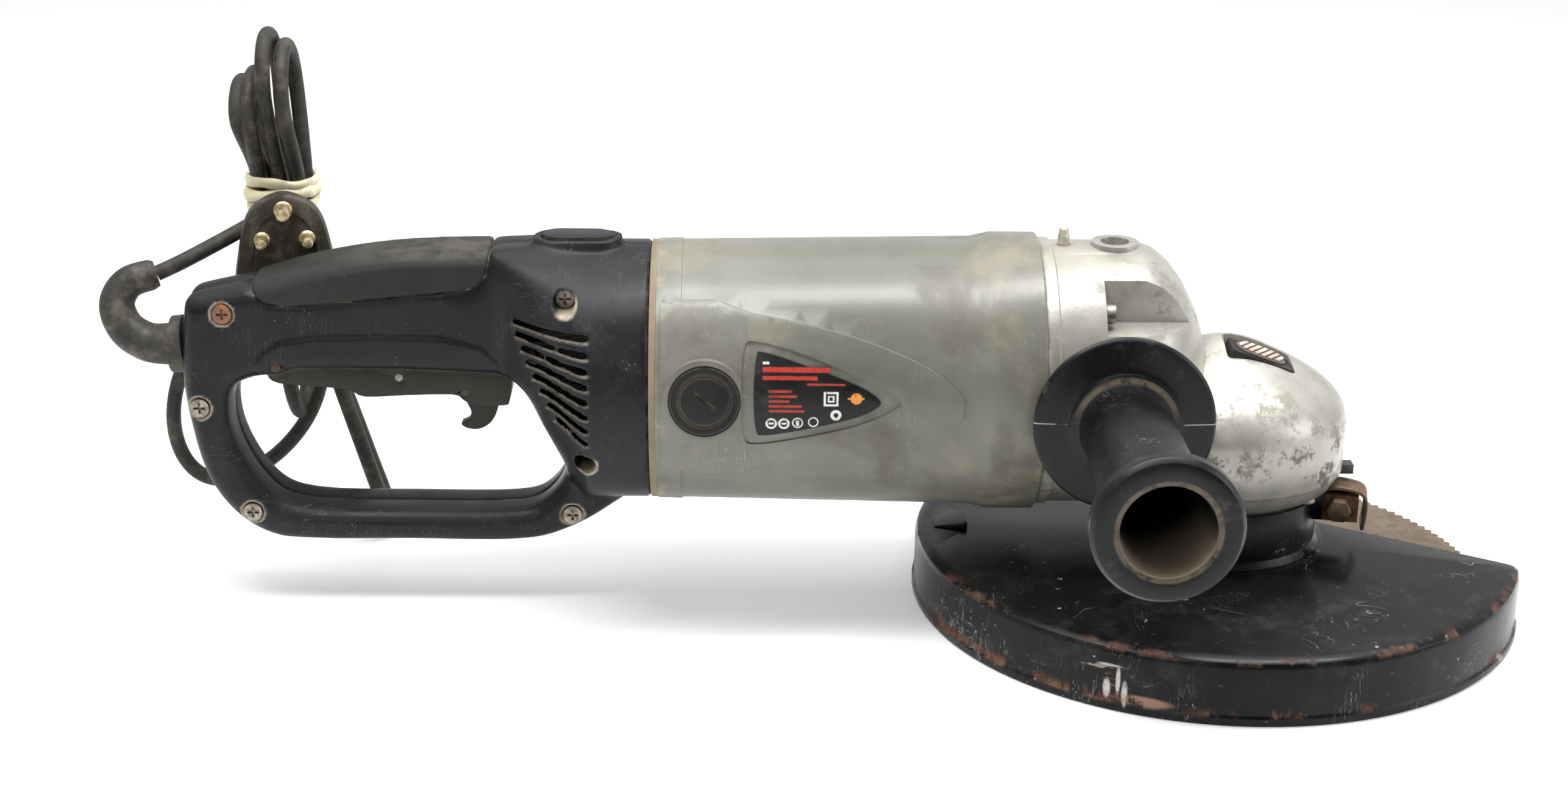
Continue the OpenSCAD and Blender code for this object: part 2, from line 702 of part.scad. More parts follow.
// The D-shaped frame, from slices that step in towards its faces
module d_frame() {
  for (a = [0 : 22.5 : 67.5]) {
    inset = grip_r * (1 - cos(a));
    w = grip_w - grip_r + grip_r * sin(a);
    side_slab(-w, 2 * w) difference() {
      offset(delta = -inset) polygon(handle_edge);
      offset(delta = inset) polygon(window_edge);
    }
  }
}

module front_barrel(d = 0) {
  turned_x([[barrel_x, 0], [barrel_x, body_rear_r - d], [seam_x - 1, body_rear_r - d],
    [seam_x, body_rear_r - 1 - d], [seam_x, 0]]);
}

// The flare between the frame and the round front
module handle_flare(d = 0) {
  hull() {
    on_axis(barrel_x - 2) cylinder(r = body_rear_r - d, h = 2 + eps, $fn = 64);
    side_slab(-grip_w + d, 2 * (grip_w - d)) polygon([[-301, 152 - d], [-301, 101 + d],
      [-285, 86], [-275, 62 + d], [-266, 48 + d], [-262, 100]]);
  }
}

vent_n = 8;
vent_x = -262.4;            // front ends of the air slots
vent_w = 2.4;
web_half = 1.5;

module vents() {
  for (i = [0 : vent_n - 1]) {
    x0 = -295 + 18 * pow(i / (vent_n - 1), 1.2);
    z0 = 128.6 - 5.1 * i;
    fall = 0.3 + i;
    side_slab(-70, 140) polygon(concat(
      [for (k = [0 : 8]) [x0 + (vent_x - x0) * k / 8, z0 - fall * slope(k / 8)]],
      [for (k = [8 : -1 : 0])
        [x0 + (vent_x - x0) * k / 8, z0 - vent_w - fall * slope(k / 8)]]));
  }
}
function slope(t) = t * t * (3 - 2 * t);

screw_at = [[-412.3, 127], [-424, 86.5], [-405, 40.5], [-272, 40]];
deep_screw_at = [[-272.5, 138.5], [-264.5, 74]];
deep_screw_y = -26;         // seats of their heads
deep_boss_y = -13;
deep_boss_r = 6.2;
release_x = -269;
release_z = 146.5;          // floor of the release button's well

// Seat under the release button
module release_seat() {
  translate([-288, -12, 144]) cube([37, 24, 8]);
}

module handle_hollows() {
  // round front, with the groove for the motor housing's lip
  turned_x([[-258, 0], [-258, 49.6], [-246 + gap, 49.6], [-246 + gap, 46 + gap],
    [seam_x + 1, 46 + gap], [seam_x + 1, 0]]);
  difference() {
    handle_flare(shell_t);
    translate([-400, -60, 0]) cube([160, 120, 50]);
    side_slab(-60, 120) offset(delta = 4) polygon(window_edge);
  }
  // grip
  side_slab(-grip_w + 4, 2 * (grip_w - 4)) polygon([[-420, 112], [-420, 126], [-400, 133],
    [-376, 138], [-300, 146], [-270, 146], [-270, 108], [-398, 108]]);
  // channel of the lower arm
  translate([-385, -8, 30]) cube([92, 16, 7]);
}

// Bosses for the two screws that go deep into the round front
module deep_bosses() {
  intersection() {
    union() {
      handle_flare();
      front_barrel();
    }
    for (p = deep_screw_at) rod_y(p[0], -60, p[1], deep_boss_r, 60 + deep_boss_y);
    translate([-310, -60, 30]) cube([310 + barrel_x + 3.5, 120, 130]);
  }
}

// Web on the middle plane that the air slots of both sides end at
module vent_web() {
  intersection() {
    handle_flare(1);
    difference() {
      side_slab(-web_half, 2 * web_half) polygon([[-296.5, 116], [-296.5, 151], [-287, 151],
        [-287, 134], [-259, 134], [-259, 56], [-274, 56], [-282, 84], [-290, 112]]);
      side_slab(-60, 120) polygon(window_edge);
    }
  }
}

module handle_body() {
  vent_web();
  difference() {
    union() {
      difference() {
        union() {
          d_frame();
          handle_flare();
          front_barrel();
          translate([release_x, 0, 0]) pad_stadium(8, 10.5, 140, 17.4);
        }
        handle_hollows();
      }
      release_seat();
      deep_bosses();
    }
    side_slab(-60, 120) polygon(window_edge);
    // slot for the trigger
    translate([-399, -9.4, 90]) cube([103.5, 18.8, 22]);
    // cord's way in
    on_sleeve_axis() translate([0, 0, -2]) cylinder(r = 9.1, h = 16);
    vents();
    // release button's well
    translate([release_x, 0, 0]) pad_stadium(7, 7.4, release_z, 20);
    translate([release_x, 0, 140]) cylinder(r = 4.2, h = 20);
    rod_y(trigger_pivot[0], -20, trigger_pivot[1], 2, 40);
    for (p = screw_at) for (s = [-1, 1]) translate([p[0], s * (grip_w - 3), p[1]])
      rotate([s * -90, 0, 0]) cylinder(r = 4.6, h = 10);
    for (p = screw_at) rod_y(p[0], -20, p[1], 1.6, 40);
    for (p = deep_screw_at) {
      rod_y(p[0], -60, p[1], 4.4, 60 + deep_screw_y);
      rod_y(p[0], -40, p[1], 1.6, 40 + deep_boss_y + 1);
    }
  }
}

// Region of the soft grip pad, over a skin of the frame
module pad_region() {
  difference() {
    side_slab(-40, 80) polygon(concat(path_curve([[-402, 143], [-399, 135.4], [-388, 131],
      [-360, 133.2], [-333, 136], [-313, 138.6], [-306, 144], [-303, 160]], 4),
      [[-340, 165], [-410, 165]]));
    side_slab(-13.2, 26.4) offset(delta = -pad_t - 1.2) polygon(handle_edge);
  }
}

module shell_half(s) {
  difference() {
    handle_body();
    translate([-450, s > 0 ? -80 : 0, 0]) cube([230, 80, 200]);
    pad_region();
  }
}

module rear_handle_right() {
  color("#2b2e33") placed() shell_half(-1);
}

module rear_handle_left() {
  color("#2b2e33") placed() shell_half(1);
}

module grip_pad() {
  color("#3c3d3e") placed() intersection() {
    d_frame();
    pad_region();
  }
}

module handle_screws() {
  color("#8a6f52") placed() {
    for (p = screw_at) translate([p[0], -grip_w + 3, p[1]])
      rotate([90, 0, 0]) pan_screw(3.9, 2.2, 1.6, 22);
    for (p = deep_screw_at) translate([p[0], deep_screw_y, p[1]])
      rotate([90, 0, 0]) pan_screw(3.9, 2.2, 1.6, deep_boss_y - deep_screw_y);
  }
}

module switch_body() {
  color("#202123") placed() {
    translate([-384, -11, 115]) cube([50, 22, 20]);
    translate([-360, -3, 112.6]) cube([8, 6, 3]);
  }
}

module cord_clamp() {
  color("#303235") placed() translate([-413, -9, 117.5]) cube([10, 18, 5]);
}

sleeve_path = path_curve([[-425, 0, 111], [-437, 0, 111], [-447, 0.6, 112], [-456, 2.5, 117],
  [-459, 5, 125], [-454, 8, 132], [-444, 12, 135.6]], 5);

module on_sleeve_axis() {
  translate([-434, 0, 111]) rotate([0, 90, 0]) children();
}

module cord_sleeve() {
  n = len(sleeve_path);
  color("#34332f") placed() {
    swept(sleeve_path, [for (i = [0 : n - 1]) 8.6 - 2 * i / (n - 1)], 12);
    translate([-435.4, 0, 111]) rotate([0, 90, 0]) cylinder(r = 12.2, h = 4.2);
  }
}

module trigger_pivot_pin() {
  color("#8a8c8e") placed() rod_y(trigger_pivot[0], -grip_w + 1, trigger_pivot[1], 2 - run,
    2 * grip_w - 2);
}

module trigger_spring() {
  color("#9a9da0") placed() translate([-345, 0, 102.4]) coil_spring(3.4, 0.5, 12.4, 3);
}

module trigger_paddle() {
  color("#33342f") placed() difference() {
    side_slab(-9, 18) polygon(ring_curve([[-397, 99], [-396.5, 105], [-391, 107.4], [-386, 106.4],
      [-383, 103], [-340, 102], [-303, 102], [-297.6, 101], [-296.6, 96], [-297.6, 88],
      [-300, 86], [-312, 86], [-317, 88.5], [-321, 90.6], [-340, 90.2], [-357, 89.4],
      [-363, 92], [-372, 93.4], [-392, 95]], 3));
    translate([-330, -7, 92.4]) cube([31, 14, 14]);
    rod_y(trigger_pivot[0], -20, trigger_pivot[1], 2, 40);
    translate([-322, -3.1, 80]) cube([21.6, 6.2, 20]);
    rod_y(lock_off_pivot[0], -20, lock_off_pivot[1], 1.6, 40);
    rod_y(-342.8, -20, 98, 1.6, 40);
  }
}

module trigger_link_pin() {
  color("#8a6f52") placed() rod_y(-342.8, -9.2, 98, 1.58, 18.4);
}

module lock_off_pin() {
  color("#8a8c8e") placed() rod_y(lock_off_pivot[0], -9.2, lock_off_pivot[1], 1.58, 18.4);
}

module lock_off_lever() {
  color("#3a3a35") placed() difference() {
    side_slab(-2.6, 5.2) polygon(ring_curve([[-319, 92], [-316, 95.4], [-311, 94], [-307, 90],
      [-303.4, 85.6], [-303.6, 81], [-306.4, 76], [-311, 73.2], [-316, 73.4], [-318.6, 75.4],
      [-315.4, 77.4], [-314.4, 81], [-316.6, 86]], 4));
    rod_y(lock_off_pivot[0], -20, lock_off_pivot[1], 1.62, 40);
  }
}

module release_button() {
  color("#2f3134") placed() {
    translate([release_x, 0, 0]) pad_stadium(7, 7, 151.6, 6.2);
    translate([release_x, 0, 141]) cylinder(r = 4, h = 12);
  }
}

module release_spring() {
  color("#9a9da0") placed() translate([release_x, 0, release_z + 0.1])
    coil_spring(5.4, 0.4, 4.9, 3);
}

// ---- cord and plug --------------------------------------------------------------

hank_y = 42;
hank_w = 40;
tie_t = 1.8;
cord_route = [[-444, 12, 135.6], [-438, 17, 139], [-432, 27, 144], [-427, 38, 149],
  [-418, 47, 153], [-409, 51, 156]];
tail_route = [[-392, 31, 126], [-392, 31, 118], [-395, 34, 108], [-400, hank_y, 100]];

module cord() {
  p = path_curve(cord_route, 3);
  color("#2c2b29") placed() swept(p, [for (q = p) cord_d / 2], 10);
}

module cord_tail() {
  p = path_curve(tail_route, 3);
  color("#2c2b29") placed() swept(p, [for (q = p) cord_d / 2], 10);
}

hank_edge = ring_curve([[-427, 216], [-421, 224], [-408, 236], [-398, 236], [-388, 222],
  [-384, 190], [-386, 178], [-386, 160], [-378, 120], [-362, 60], [-352, 20], [-361, 2.6],
  [-400, 1.4], [-441, 2.6], [-454, 20], [-453, 50], [-440, 110], [-420, 160], [-420, 178],
  [-428, 196]], 3);

module cord_hank() {
  color("#33322f") placed() side_slab(hank_y, hank_w) polygon(hank_edge);
}

module hank_tie() {
  color("#e4ddc4") placed() difference() {
    translate([-426, hank_y - tie_t, 162]) cube([46, hank_w + 2 * tie_t, 15]);
    side_slab(hank_y, hank_w) polygon(hank_edge);
  }
}

plug_edge = ring_curve([[-408, 156], [-402, 163], [-392, 166.6], [-382, 163], [-376, 156],
  [-372, 140], [-370, 128], [-376, 124], [-392, 124], [-408, 124], [-413, 128],
  [-411, 142]], 3);
pin_at = [[-401.3, 149.2], [-382.7, 149.2], [-392, 161.2]];

module plug_body() {
  color("#35322d") placed() side_slab(21, 19) polygon(plug_edge);
}

module plug_pins() {
  color("#b89a4c") placed() for (p = pin_at) rod_y(p[0], 3.4, p[1], 3, 17.6);
}

motor_housing();
swivel_ring();
brush_caps();
brush_holders();
carbon_brushes();
brush_springs();
label_plates();
stator_core();
field_coils();
air_baffle();
rear_bearing();
front_bearing();
gear_housing();
breather_stub();
housing_screws();
bearing_cover();
cover_screws();
spindle_lower_bearing();
spindle_upper_bushing();
side_handle();
side_handle_stud();
spindle_lock_button();
spindle_lock_spring();
armature_shaft();
armature_core();
armature_windings();
commutator();
cooling_fan();
bevel_pinion();
pinion_nut();
spindle();
spindle_key();
crown_gear();
inner_flange();
cutting_disc();
flange_nut();
guard();
guard_clamp_bolt();
rear_handle_right();
rear_handle_left();
grip_pad();
handle_screws();
switch_body();
cord_clamp();
cord_sleeve();
trigger_pivot_pin();
trigger_spring();
trigger_paddle();
trigger_link_pin();
lock_off_pin();
lock_off_lever();
release_button();
release_spring();
cord();
cord_hank();
cord_tail();
hank_tie();
plug_body();
plug_pins();
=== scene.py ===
"""Looks of the large angle grinder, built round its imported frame.

Points are written in millimetres from the spindle's axis (x, y) and from the guard's rim (z),
as in the CAD source, and at() moves them into the frame, in metres.
"""
import math

import bpy
import numpy as np
from mathutils import Matrix, Vector


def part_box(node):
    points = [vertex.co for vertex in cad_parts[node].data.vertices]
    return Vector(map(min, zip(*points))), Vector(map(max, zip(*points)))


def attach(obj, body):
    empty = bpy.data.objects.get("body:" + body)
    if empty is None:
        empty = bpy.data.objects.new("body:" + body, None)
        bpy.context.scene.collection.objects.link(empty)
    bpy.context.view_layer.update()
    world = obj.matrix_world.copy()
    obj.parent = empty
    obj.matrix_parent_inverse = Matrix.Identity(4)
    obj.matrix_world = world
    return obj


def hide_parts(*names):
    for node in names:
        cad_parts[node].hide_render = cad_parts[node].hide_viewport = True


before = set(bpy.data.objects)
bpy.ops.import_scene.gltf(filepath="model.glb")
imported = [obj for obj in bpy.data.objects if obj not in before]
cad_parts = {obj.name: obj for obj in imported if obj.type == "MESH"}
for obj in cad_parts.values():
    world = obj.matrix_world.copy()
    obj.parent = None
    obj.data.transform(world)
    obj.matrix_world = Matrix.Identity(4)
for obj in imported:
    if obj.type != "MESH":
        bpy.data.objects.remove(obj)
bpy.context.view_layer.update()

MM = 0.001
disc_low, disc_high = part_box("cutting_disc")
SPINDLE = Vector(((disc_low.x + disc_high.x) / 2, (disc_low.y + disc_high.y) / 2, 0))
AXIS_Z = 100.0
BRUSH_ROLL = math.radians(5.5)
SCREWS = [(-412.3, 127), (-424, 86.5), (-405, 40.5), (-272, 40)]
DEEP_SCREWS = [(-272.5, 138.5), (-264.5, 74)]


def at(x, y, z):
    return SPINDLE + Vector((x, y, z)) * MM


def local(points):
    """Frame points in metres, as an array in millimetres from the spindle."""
    return (np.asarray(points, float) - np.array(SPINDLE)) / MM


# ---- camera and light --------------------------------------------------------------

def add_camera():
    place = at(-202.4, -967.3, 438.5)
    target = at(-184.0, 0, 84.1)
    data = bpy.data.cameras.new("camera")
    data.lens = 56.56
    data.sensor_width = 36
    data.sensor_fit = "HORIZONTAL"
    camera = bpy.data.objects.new("camera", data)
    turn = (target - place).to_track_quat("-Z", "Y").to_matrix().to_4x4()
    camera.matrix_world = (
        Matrix.Translation(place) @ turn @ Matrix.Rotation(math.radians(0.72), 4, "Z")
    )
    bpy.context.scene.collection.objects.link(camera)
    bpy.context.scene.camera = camera


def add_area(name, place, target, size, power, colour=(1, 1, 1)):
    data = bpy.data.lights.new(name, "AREA")
    data.shape = "RECTANGLE"
    data.size, data.size_y = size
    data.energy = power
    data.color = colour
    light = bpy.data.objects.new(name, data)
    turn = (target - place).to_track_quat("-Z", "Y").to_matrix().to_4x4()
    light.matrix_world = Matrix.Translation(place) @ turn
    bpy.context.scene.collection.objects.link(light)


def add_lights():
    middle = at(-180, 0, 80)
    add_area("strip_light", at(-150, -90, 950), middle, (1.2, 0.16), 11)
    add_area("top_light", at(-180, 250, 1150), middle, (1.6, 1.0), 10)
    add_area("right_light", at(750, -250, 420), at(0, 0, 80), (0.5, 0.5), 2.2)
    add_area("front_light", at(-600, -1300, 900), middle, (0.6, 0.6), 3.5)
    add_world()


def add_world():
    """A white tent that is open, and dark, towards the camera's side."""
    world = bpy.data.worlds.new("tent")
    world.use_nodes = True
    nodes, links = world.node_tree.nodes, world.node_tree.links
    place = nodes.new("ShaderNodeTexCoord").outputs["Generated"]
    split = nodes.new("ShaderNodeSeparateXYZ")
    links.new(place, split.inputs[0])
    opening = nodes.new("ShaderNodeMapRange")
    opening.interpolation_type = "SMOOTHSTEP"
    links.new(split.outputs["Y"], opening.inputs["Value"])
    for socket, value in (("From Min", -0.75), ("From Max", -0.15), ("To Min", 0.06),
                          ("To Max", 0.75)):
        opening.inputs[socket].default_value = value
    background = nodes["Background"]
    background.inputs["Color"].default_value = (1, 1, 1, 1)
    links.new(opening.outputs[0], background.inputs["Strength"])
    bpy.context.scene.world = world
    bpy.context.scene.view_settings.view_transform = "Standard"


# ---- shader building -----------------------------------------------------------------

class Shader:
    """A principled material put together from procedural nodes."""

    def __init__(self, name, **sockets):
        self.material = bpy.data.materials.new(name)
        self.material.use_nodes = True
        self.tree = self.material.node_tree
        self.surface = self.tree.nodes["Principled BSDF"]
        self.place = self.tree.nodes.new("ShaderNodeTexCoord").outputs["Object"]
        self.surface.inputs["Specular IOR Level"].default_value = 0.3
        for socket, value in sockets.items():
            self.surface.inputs[socket.replace("_", " ")].default_value = value

    def put(self, socket, value):
        if isinstance(value, bpy.types.NodeSocket):
            self.tree.links.new(value, socket)
        elif isinstance(value, tuple) and len(value) == 3 and socket.type == "RGBA":
            socket.default_value = (*value, 1)
        else:
            socket.default_value = value

    def node(self, kind, inputs=(), **settings):
        made = self.tree.nodes.new("ShaderNode" + kind)
        for key, value in settings.items():
            setattr(made, key, value)
        for key, value in dict(inputs).items():
            self.put(made.inputs[key], value)
        return made

    def math(self, operation, a, b=0.0):
        return self.node("Math", {0: a, 1: b}, operation=operation).outputs[0]

    def scaled(self, x, y, z, move=(0, 0, 0)):
        """The place, stretched: larger numbers give finer marks along that axis."""
        made = self.node("Mapping", {"Vector": self.place})
        made.inputs["Scale"].default_value = (x, y, z)
        made.inputs["Location"].default_value = move
        return made.outputs[0]

    def noise(self, scale, detail=4.0, rough=0.55, place=None, bend=0.0):
        made = self.node("TexNoise", {
            "Vector": place or self.place, "Scale": scale, "Detail": detail,
            "Roughness": rough, "Distortion": bend})
        return made.outputs["Fac"]

    def cells(self, scale, place=None, feature="F1"):
        made = self.node("TexVoronoi", {"Vector": place or self.place, "Scale": scale},
                         feature=feature)
        return made.outputs["Distance"]

    def band(self, value, low, high, out_low=0.0, out_high=1.0):
        """A smooth step: out_low below low, out_high above high."""
        made = self.node("MapRange", {"Value": value, "To Min": out_low, "To Max": out_high},
                         interpolation_type="SMOOTHSTEP")
        made.inputs["From Min"].default_value = low
        made.inputs["From Max"].default_value = high
        return made.outputs[0]

    def mix(self, factor, a, b):
        made = self.node("Mix", data_type="RGBA")
        self.put(made.inputs["Factor"], factor)
        self.put(made.inputs[6], a)
        self.put(made.inputs[7], b)
        return made.outputs[2]

    def axis(self, letter):
        return self.node("SeparateXYZ", {0: self.place}).outputs[letter]

    def along(self, letter, low, high):
        """A smooth step along an axis, between two of the drawing's places in millimetres."""
        offset = {"X": SPINDLE.x, "Y": SPINDLE.y, "Z": 0.0}[letter]
        return self.band(self.axis(letter), offset + low * MM, offset + high * MM)

    def times(self, *values):
        result = values[0]
        for value in values[1:]:
            result = self.math("MULTIPLY", result, value)
        return result

    def most(self, *values):
        result = values[0]
        for value in values[1:]:
            result = self.math("MAXIMUM", result, value)
        return result

    def less(self, value):
        return self.math("SUBTRACT", 1.0, value)

    def blots(self, spots):
        """Soft oval marks on both sides, each from (x, z, half length, half height) in mm."""
        total = None
        for x, z, half_x, half_z in spots:
            moved = self.node("VectorMath", {0: self.place, 1: tuple(at(x, 0, z))},
                              operation="SUBTRACT").outputs[0]
            flat = self.node("VectorMath", {0: moved, 1: (1 / half_x / MM, 0, 1 / half_z / MM)},
                             operation="MULTIPLY").outputs[0]
            size = self.node("VectorMath", {0: flat}, operation="LENGTH").outputs["Value"]
            mark = self.band(size, 0.55, 1.05, 1, 0)
            total = mark if total is None else self.most(total, mark)
        return total

    def crevice(self, distance=4.0, low=0.45, high=0.95):
        """1 deep in corners and 0 on open faces."""
        made = self.node("AmbientOcclusion", {"Distance": distance * MM}, samples=6)
        return self.less(self.band(made.outputs["AO"], low, high))

    def edge(self, low=0.52, high=0.60):
        made = self.node("NewGeometry")
        return self.band(made.outputs["Pointiness"], low, high)

    def painted(self, name):
        return self.node("Attribute", attribute_name=name).outputs["Fac"]

    def bump(self, strength, distance, height, below=None):
        made = self.node("Bump", {"Height": height, "Strength": strength,
                                  "Distance": distance * MM})
        if below:
            self.put(made.inputs["Normal"], below)
        return made.outputs[0]

    def finish(self, colour, rough, normal=None, metallic=None):
        self.put(self.surface.inputs["Base Color"], colour)
        self.put(self.surface.inputs["Roughness"], rough)
        if normal:
            self.put(self.surface.inputs["Normal"], normal)
        if metallic is not None:
            self.put(self.surface.inputs["Metallic"], metallic)
        return self.material


DUST = (0.42, 0.36, 0.27)
DARK_DUST = (0.20, 0.16, 0.11)
RUST = (0.19, 0.075, 0.03)
DARK_RUST = (0.07, 0.032, 0.018)


def scratches(s, scale, amount, turn=0):
    """Thin broken lines: 1 on a scratch."""
    stretch = [(1, 1, 9), (9, 1, 1), (5, 5, 1)][turn % 3]
    lines = s.noise(scale, 2, 0.6, s.scaled(*stretch, move=(turn, 2 * turn, 0)), bend=0.6)
    thin = s.band(s.math("ABSOLUTE", s.math("SUBTRACT", lines, 0.5)), 0.0, 0.006, 1, 0)
    patches = s.band(s.noise(scale * 0.6, 2, 0.5), 1 - amount, 1 - amount + 0.08)
    return s.times(thin, patches)


def worn_plastic(name, base, lighter, dirt, rough, grime=0.8, grain=0.12):
    """Moulded plastic with a fine grain, handling marks, scratches and dirt in its corners."""
    s = Shader(name, Specular_IOR_Level=0.22)
    patch = s.band(s.noise(22, 5, 0.6), 0.35, 0.7)
    fine = s.band(s.noise(160, 4, 0.6), 0.45, 0.75)
    colour = s.mix(s.times(patch, 0.75), base, lighter)
    dusty = s.times(fine, s.band(s.noise(35, 4, 0.7), 0.5, 0.75), 0.35)
    colour = s.mix(dusty, colour, dirt)
    marks = s.most(scratches(s, 60, 0.42), scratches(s, 90, 0.40, 1))
    colour = s.mix(s.times(marks, 0.55), colour, tuple(min(1, 2.2 * c + 0.05) for c in lighter))
    corner = s.times(s.crevice(3.0), s.band(s.noise(120, 4, 0.7), 0.25, 0.6), grime)
    colour = s.mix(corner, colour, dirt)
    roughness = s.math("ADD", s.band(patch, 0, 1, rough, rough + 0.12), s.times(corner, 0.3))
    normal = s.bump(grain, 0.15, s.noise(1400, 2, 0.5))
    normal = s.bump(0.25, 0.3, s.noise(30, 3, 0.5), normal)
    return s.finish(colour, roughness, normal)


def shell_plastic():
    s = Shader("shell_plastic", Specular_IOR_Level=0.22)
    base, lighter = (0.0062, 0.0066, 0.0078), (0.0125, 0.0130, 0.0148)
    patch = s.band(s.noise(16, 5, 0.62), 0.35, 0.7)
    colour = s.mix(patch, base, lighter)
    haze = s.times(s.band(s.noise(55, 6, 0.75), 0.5, 0.8), s.band(s.noise(9, 3), 0.4, 0.65))
    colour = s.mix(s.times(haze, 0.2), colour, (0.13, 0.125, 0.12))
    specks = s.times(s.band(s.cells(420), 0.05, 0.16, 1, 0), s.band(s.noise(60, 3), 0.55, 0.7))
    colour = s.mix(s.times(specks, 0.6), colour, (0.35, 0.33, 0.30))
    marks = s.most(scratches(s, 55, 0.40), scratches(s, 85, 0.42, 1), scratches(s, 70, 0.4, 2))
    colour = s.mix(s.times(marks, 0.4), colour, (0.25, 0.25, 0.26))
    grime = s.times(s.painted("grime"), s.band(s.noise(140, 4, 0.7), 0.2, 0.55))
    corner = s.times(s.crevice(2.5, 0.3, 0.8), s.band(s.noise(200, 4, 0.7), 0.35, 0.7), 0.35)
    dirt = s.most(grime, corner)
    colour = s.mix(dirt, colour, DUST)
    roughness = s.math("ADD", s.band(patch, 0, 1, 0.36, 0.47), s.times(s.most(dirt, haze), 0.3))
    normal = s.bump(0.10, 0.12, s.noise(1500, 2, 0.5))
    normal = s.bump(0.2, 0.35, s.noise(28, 3, 0.5), normal)
    return s.finish(colour, roughness, normal)


def soft_grip():
    s = Shader("soft_grip", Specular_IOR_Level=0.2)
    patch = s.band(s.noise(24, 5, 0.6), 0.35, 0.7)
    colour = s.mix(patch, (0.016, 0.0165, 0.0155), (0.030, 0.030, 0.027))
    top = s.along("Z", 147, 153)
    dusty = s.times(top, s.band(s.noise(70, 5, 0.7), 0.35, 0.65), 0.4)
    colour = s.mix(dusty, colour, (0.12, 0.105, 0.085))
    colour = s.mix(s.times(scratches(s, 50, 0.42, 1), 0.4), colour, (0.2, 0.19, 0.17))
    normal = s.bump(0.22, 0.15, s.noise(1100, 3, 0.6))
    return s.finish(colour, s.band(patch, 0, 1, 0.55, 0.68), normal)


def housing_plastic():
    """The motor housing: grey-green, stained brown, rubbed pale at its edges, with painted shade in its
    corners.
    """
    s = Shader("housing_plastic", Specular_IOR_Level=0.5)
    patch = s.band(s.noise(11, 5, 0.62), 0.32, 0.68)
    colour = s.mix(patch, (0.120, 0.120, 0.094), (0.175, 0.172, 0.140))
    stain = s.band(s.noise(17, 6, 0.65, s.scaled(0.8, 1, 1.4, (3, 1, 2)), 0.8), 0.50, 0.68)
    colour = s.mix(s.times(stain, 0.55), colour, (0.080, 0.070, 0.046))
    spots = s.blots([(-140, 74, 9, 14), (-128, 68, 8, 10), (-146, 92, 7, 8), (-98, 86, 6, 16)])
    spots = s.times(spots, s.band(s.noise(60, 4, 0.6), 0.3, 0.55))
    colour = s.mix(s.times(spots, 0.5), colour, (0.070, 0.064, 0.045))
    warm = s.band(s.noise(30, 4, 0.6, s.scaled(1, 1, 1, (7, 0, 0))), 0.55, 0.75)
    colour = s.mix(s.times(warm, 0.5), colour, (0.25, 0.22, 0.155))
    ends = s.most(s.along("X", -86, -82), s.less(s.along("X", -234.5, -231)))
    rubbed = s.times(s.most(ends, s.times(s.along("X", -112, -106), 0.35)),
                     s.band(s.noise(90, 5, 0.75), 0.48, 0.66))
    colour = s.mix(s.times(rubbed, 0.6), colour, (0.32, 0.265, 0.18))
    marks = s.most(scratches(s, 55, 0.42, 1), scratches(s, 80, 0.42, 2), scratches(s, 60, 0.4))
    colour = s.mix(s.times(marks, 0.65), colour, (0.40, 0.38, 0.31))
    # Painted shade: the colour is darkened in corners that ambient occlusion finds.
    corner = s.times(s.crevice(3.5, 0.35, 0.9), s.band(s.noise(150, 4, 0.7), 0.3, 0.6))
    colour = s.mix(s.times(corner, 0.5), colour, (0.085, 0.075, 0.052))
    roughness = s.band(s.math("ADD", stain, s.times(patch, 0.5)), 0, 1.3, 0.30, 0.46)
    normal = s.bump(0.10, 0.12, s.noise(1500, 2, 0.5))
    normal = s.bump(0.22, 0.4, s.noise(24, 3, 0.5), normal)
    return s.finish(colour, roughness, normal)


def cast_alloy():
    s = Shader("cast_alloy", Specular_IOR_Level=0.6)
    patch = s.band(s.noise(26, 5, 0.6), 0.3, 0.7)
    colour = s.mix(patch, (0.31, 0.30, 0.26), (0.44, 0.43, 0.38))
    z = s.axis("Z")
    low = s.less(s.along("Z", 72, 98))
    spots = s.band(s.noise(85, 6, 0.78), 0.50, 0.58)
    spread = s.band(s.noise(30, 4, 0.6, s.scaled(1, 1, 1, (4, 2, 0))), 0.47, 0.58)
    dirt = s.times(spots, s.most(s.times(spread, 0.5), s.times(low, spread), s.times(low, 0.5)))
    # Painted shade: corners that ambient occlusion finds are darkened in the dirt's dark brown.
    corner = s.times(s.crevice(5.0, 0.35, 0.9), s.band(s.noise(110, 5, 0.7), 0.35, 0.6))
    seam = s.times(s.band(z, 0.0610, 0.0618), s.band(z, 0.0622, 0.0632, 1, 0),
                   s.band(s.noise(60, 4, 0.7), 0.3, 0.5))
    # dirt from here on holds the dirt spots, the dark seam and the painted shade in corners.
    dirt = s.most(dirt, s.times(corner, 0.9), s.times(seam, 0.95))
    colour = s.mix(s.times(dirt, 0.88), colour, (0.075, 0.052, 0.030))
    colour = s.mix(s.times(scratches(s, 70, 0.44), 0.5), colour, (0.7, 0.7, 0.66))
    stub = s.times(s.blots([(53.5, 59.6, 7, 5)]), s.along("X", 49.5, 50.5),
                   s.less(s.along("Y", 4, 6)))
    colour = s.mix(stub, colour, (0.05, 0.045, 0.038))
    roughness = s.math("ADD", s.band(patch, 0, 1, 0.27, 0.38), s.times(dirt, 0.35))
    normal = s.bump(0.22, 0.3, s.noise(380, 3, 0.6))
    normal = s.bump(0.45, 1.0, s.noise(32, 3, 0.5), normal)
    return s.finish(colour, roughness, normal, s.band(s.most(dirt, stub), 0, 1, 0.45, 0.0))


SIDE_X = -51.4


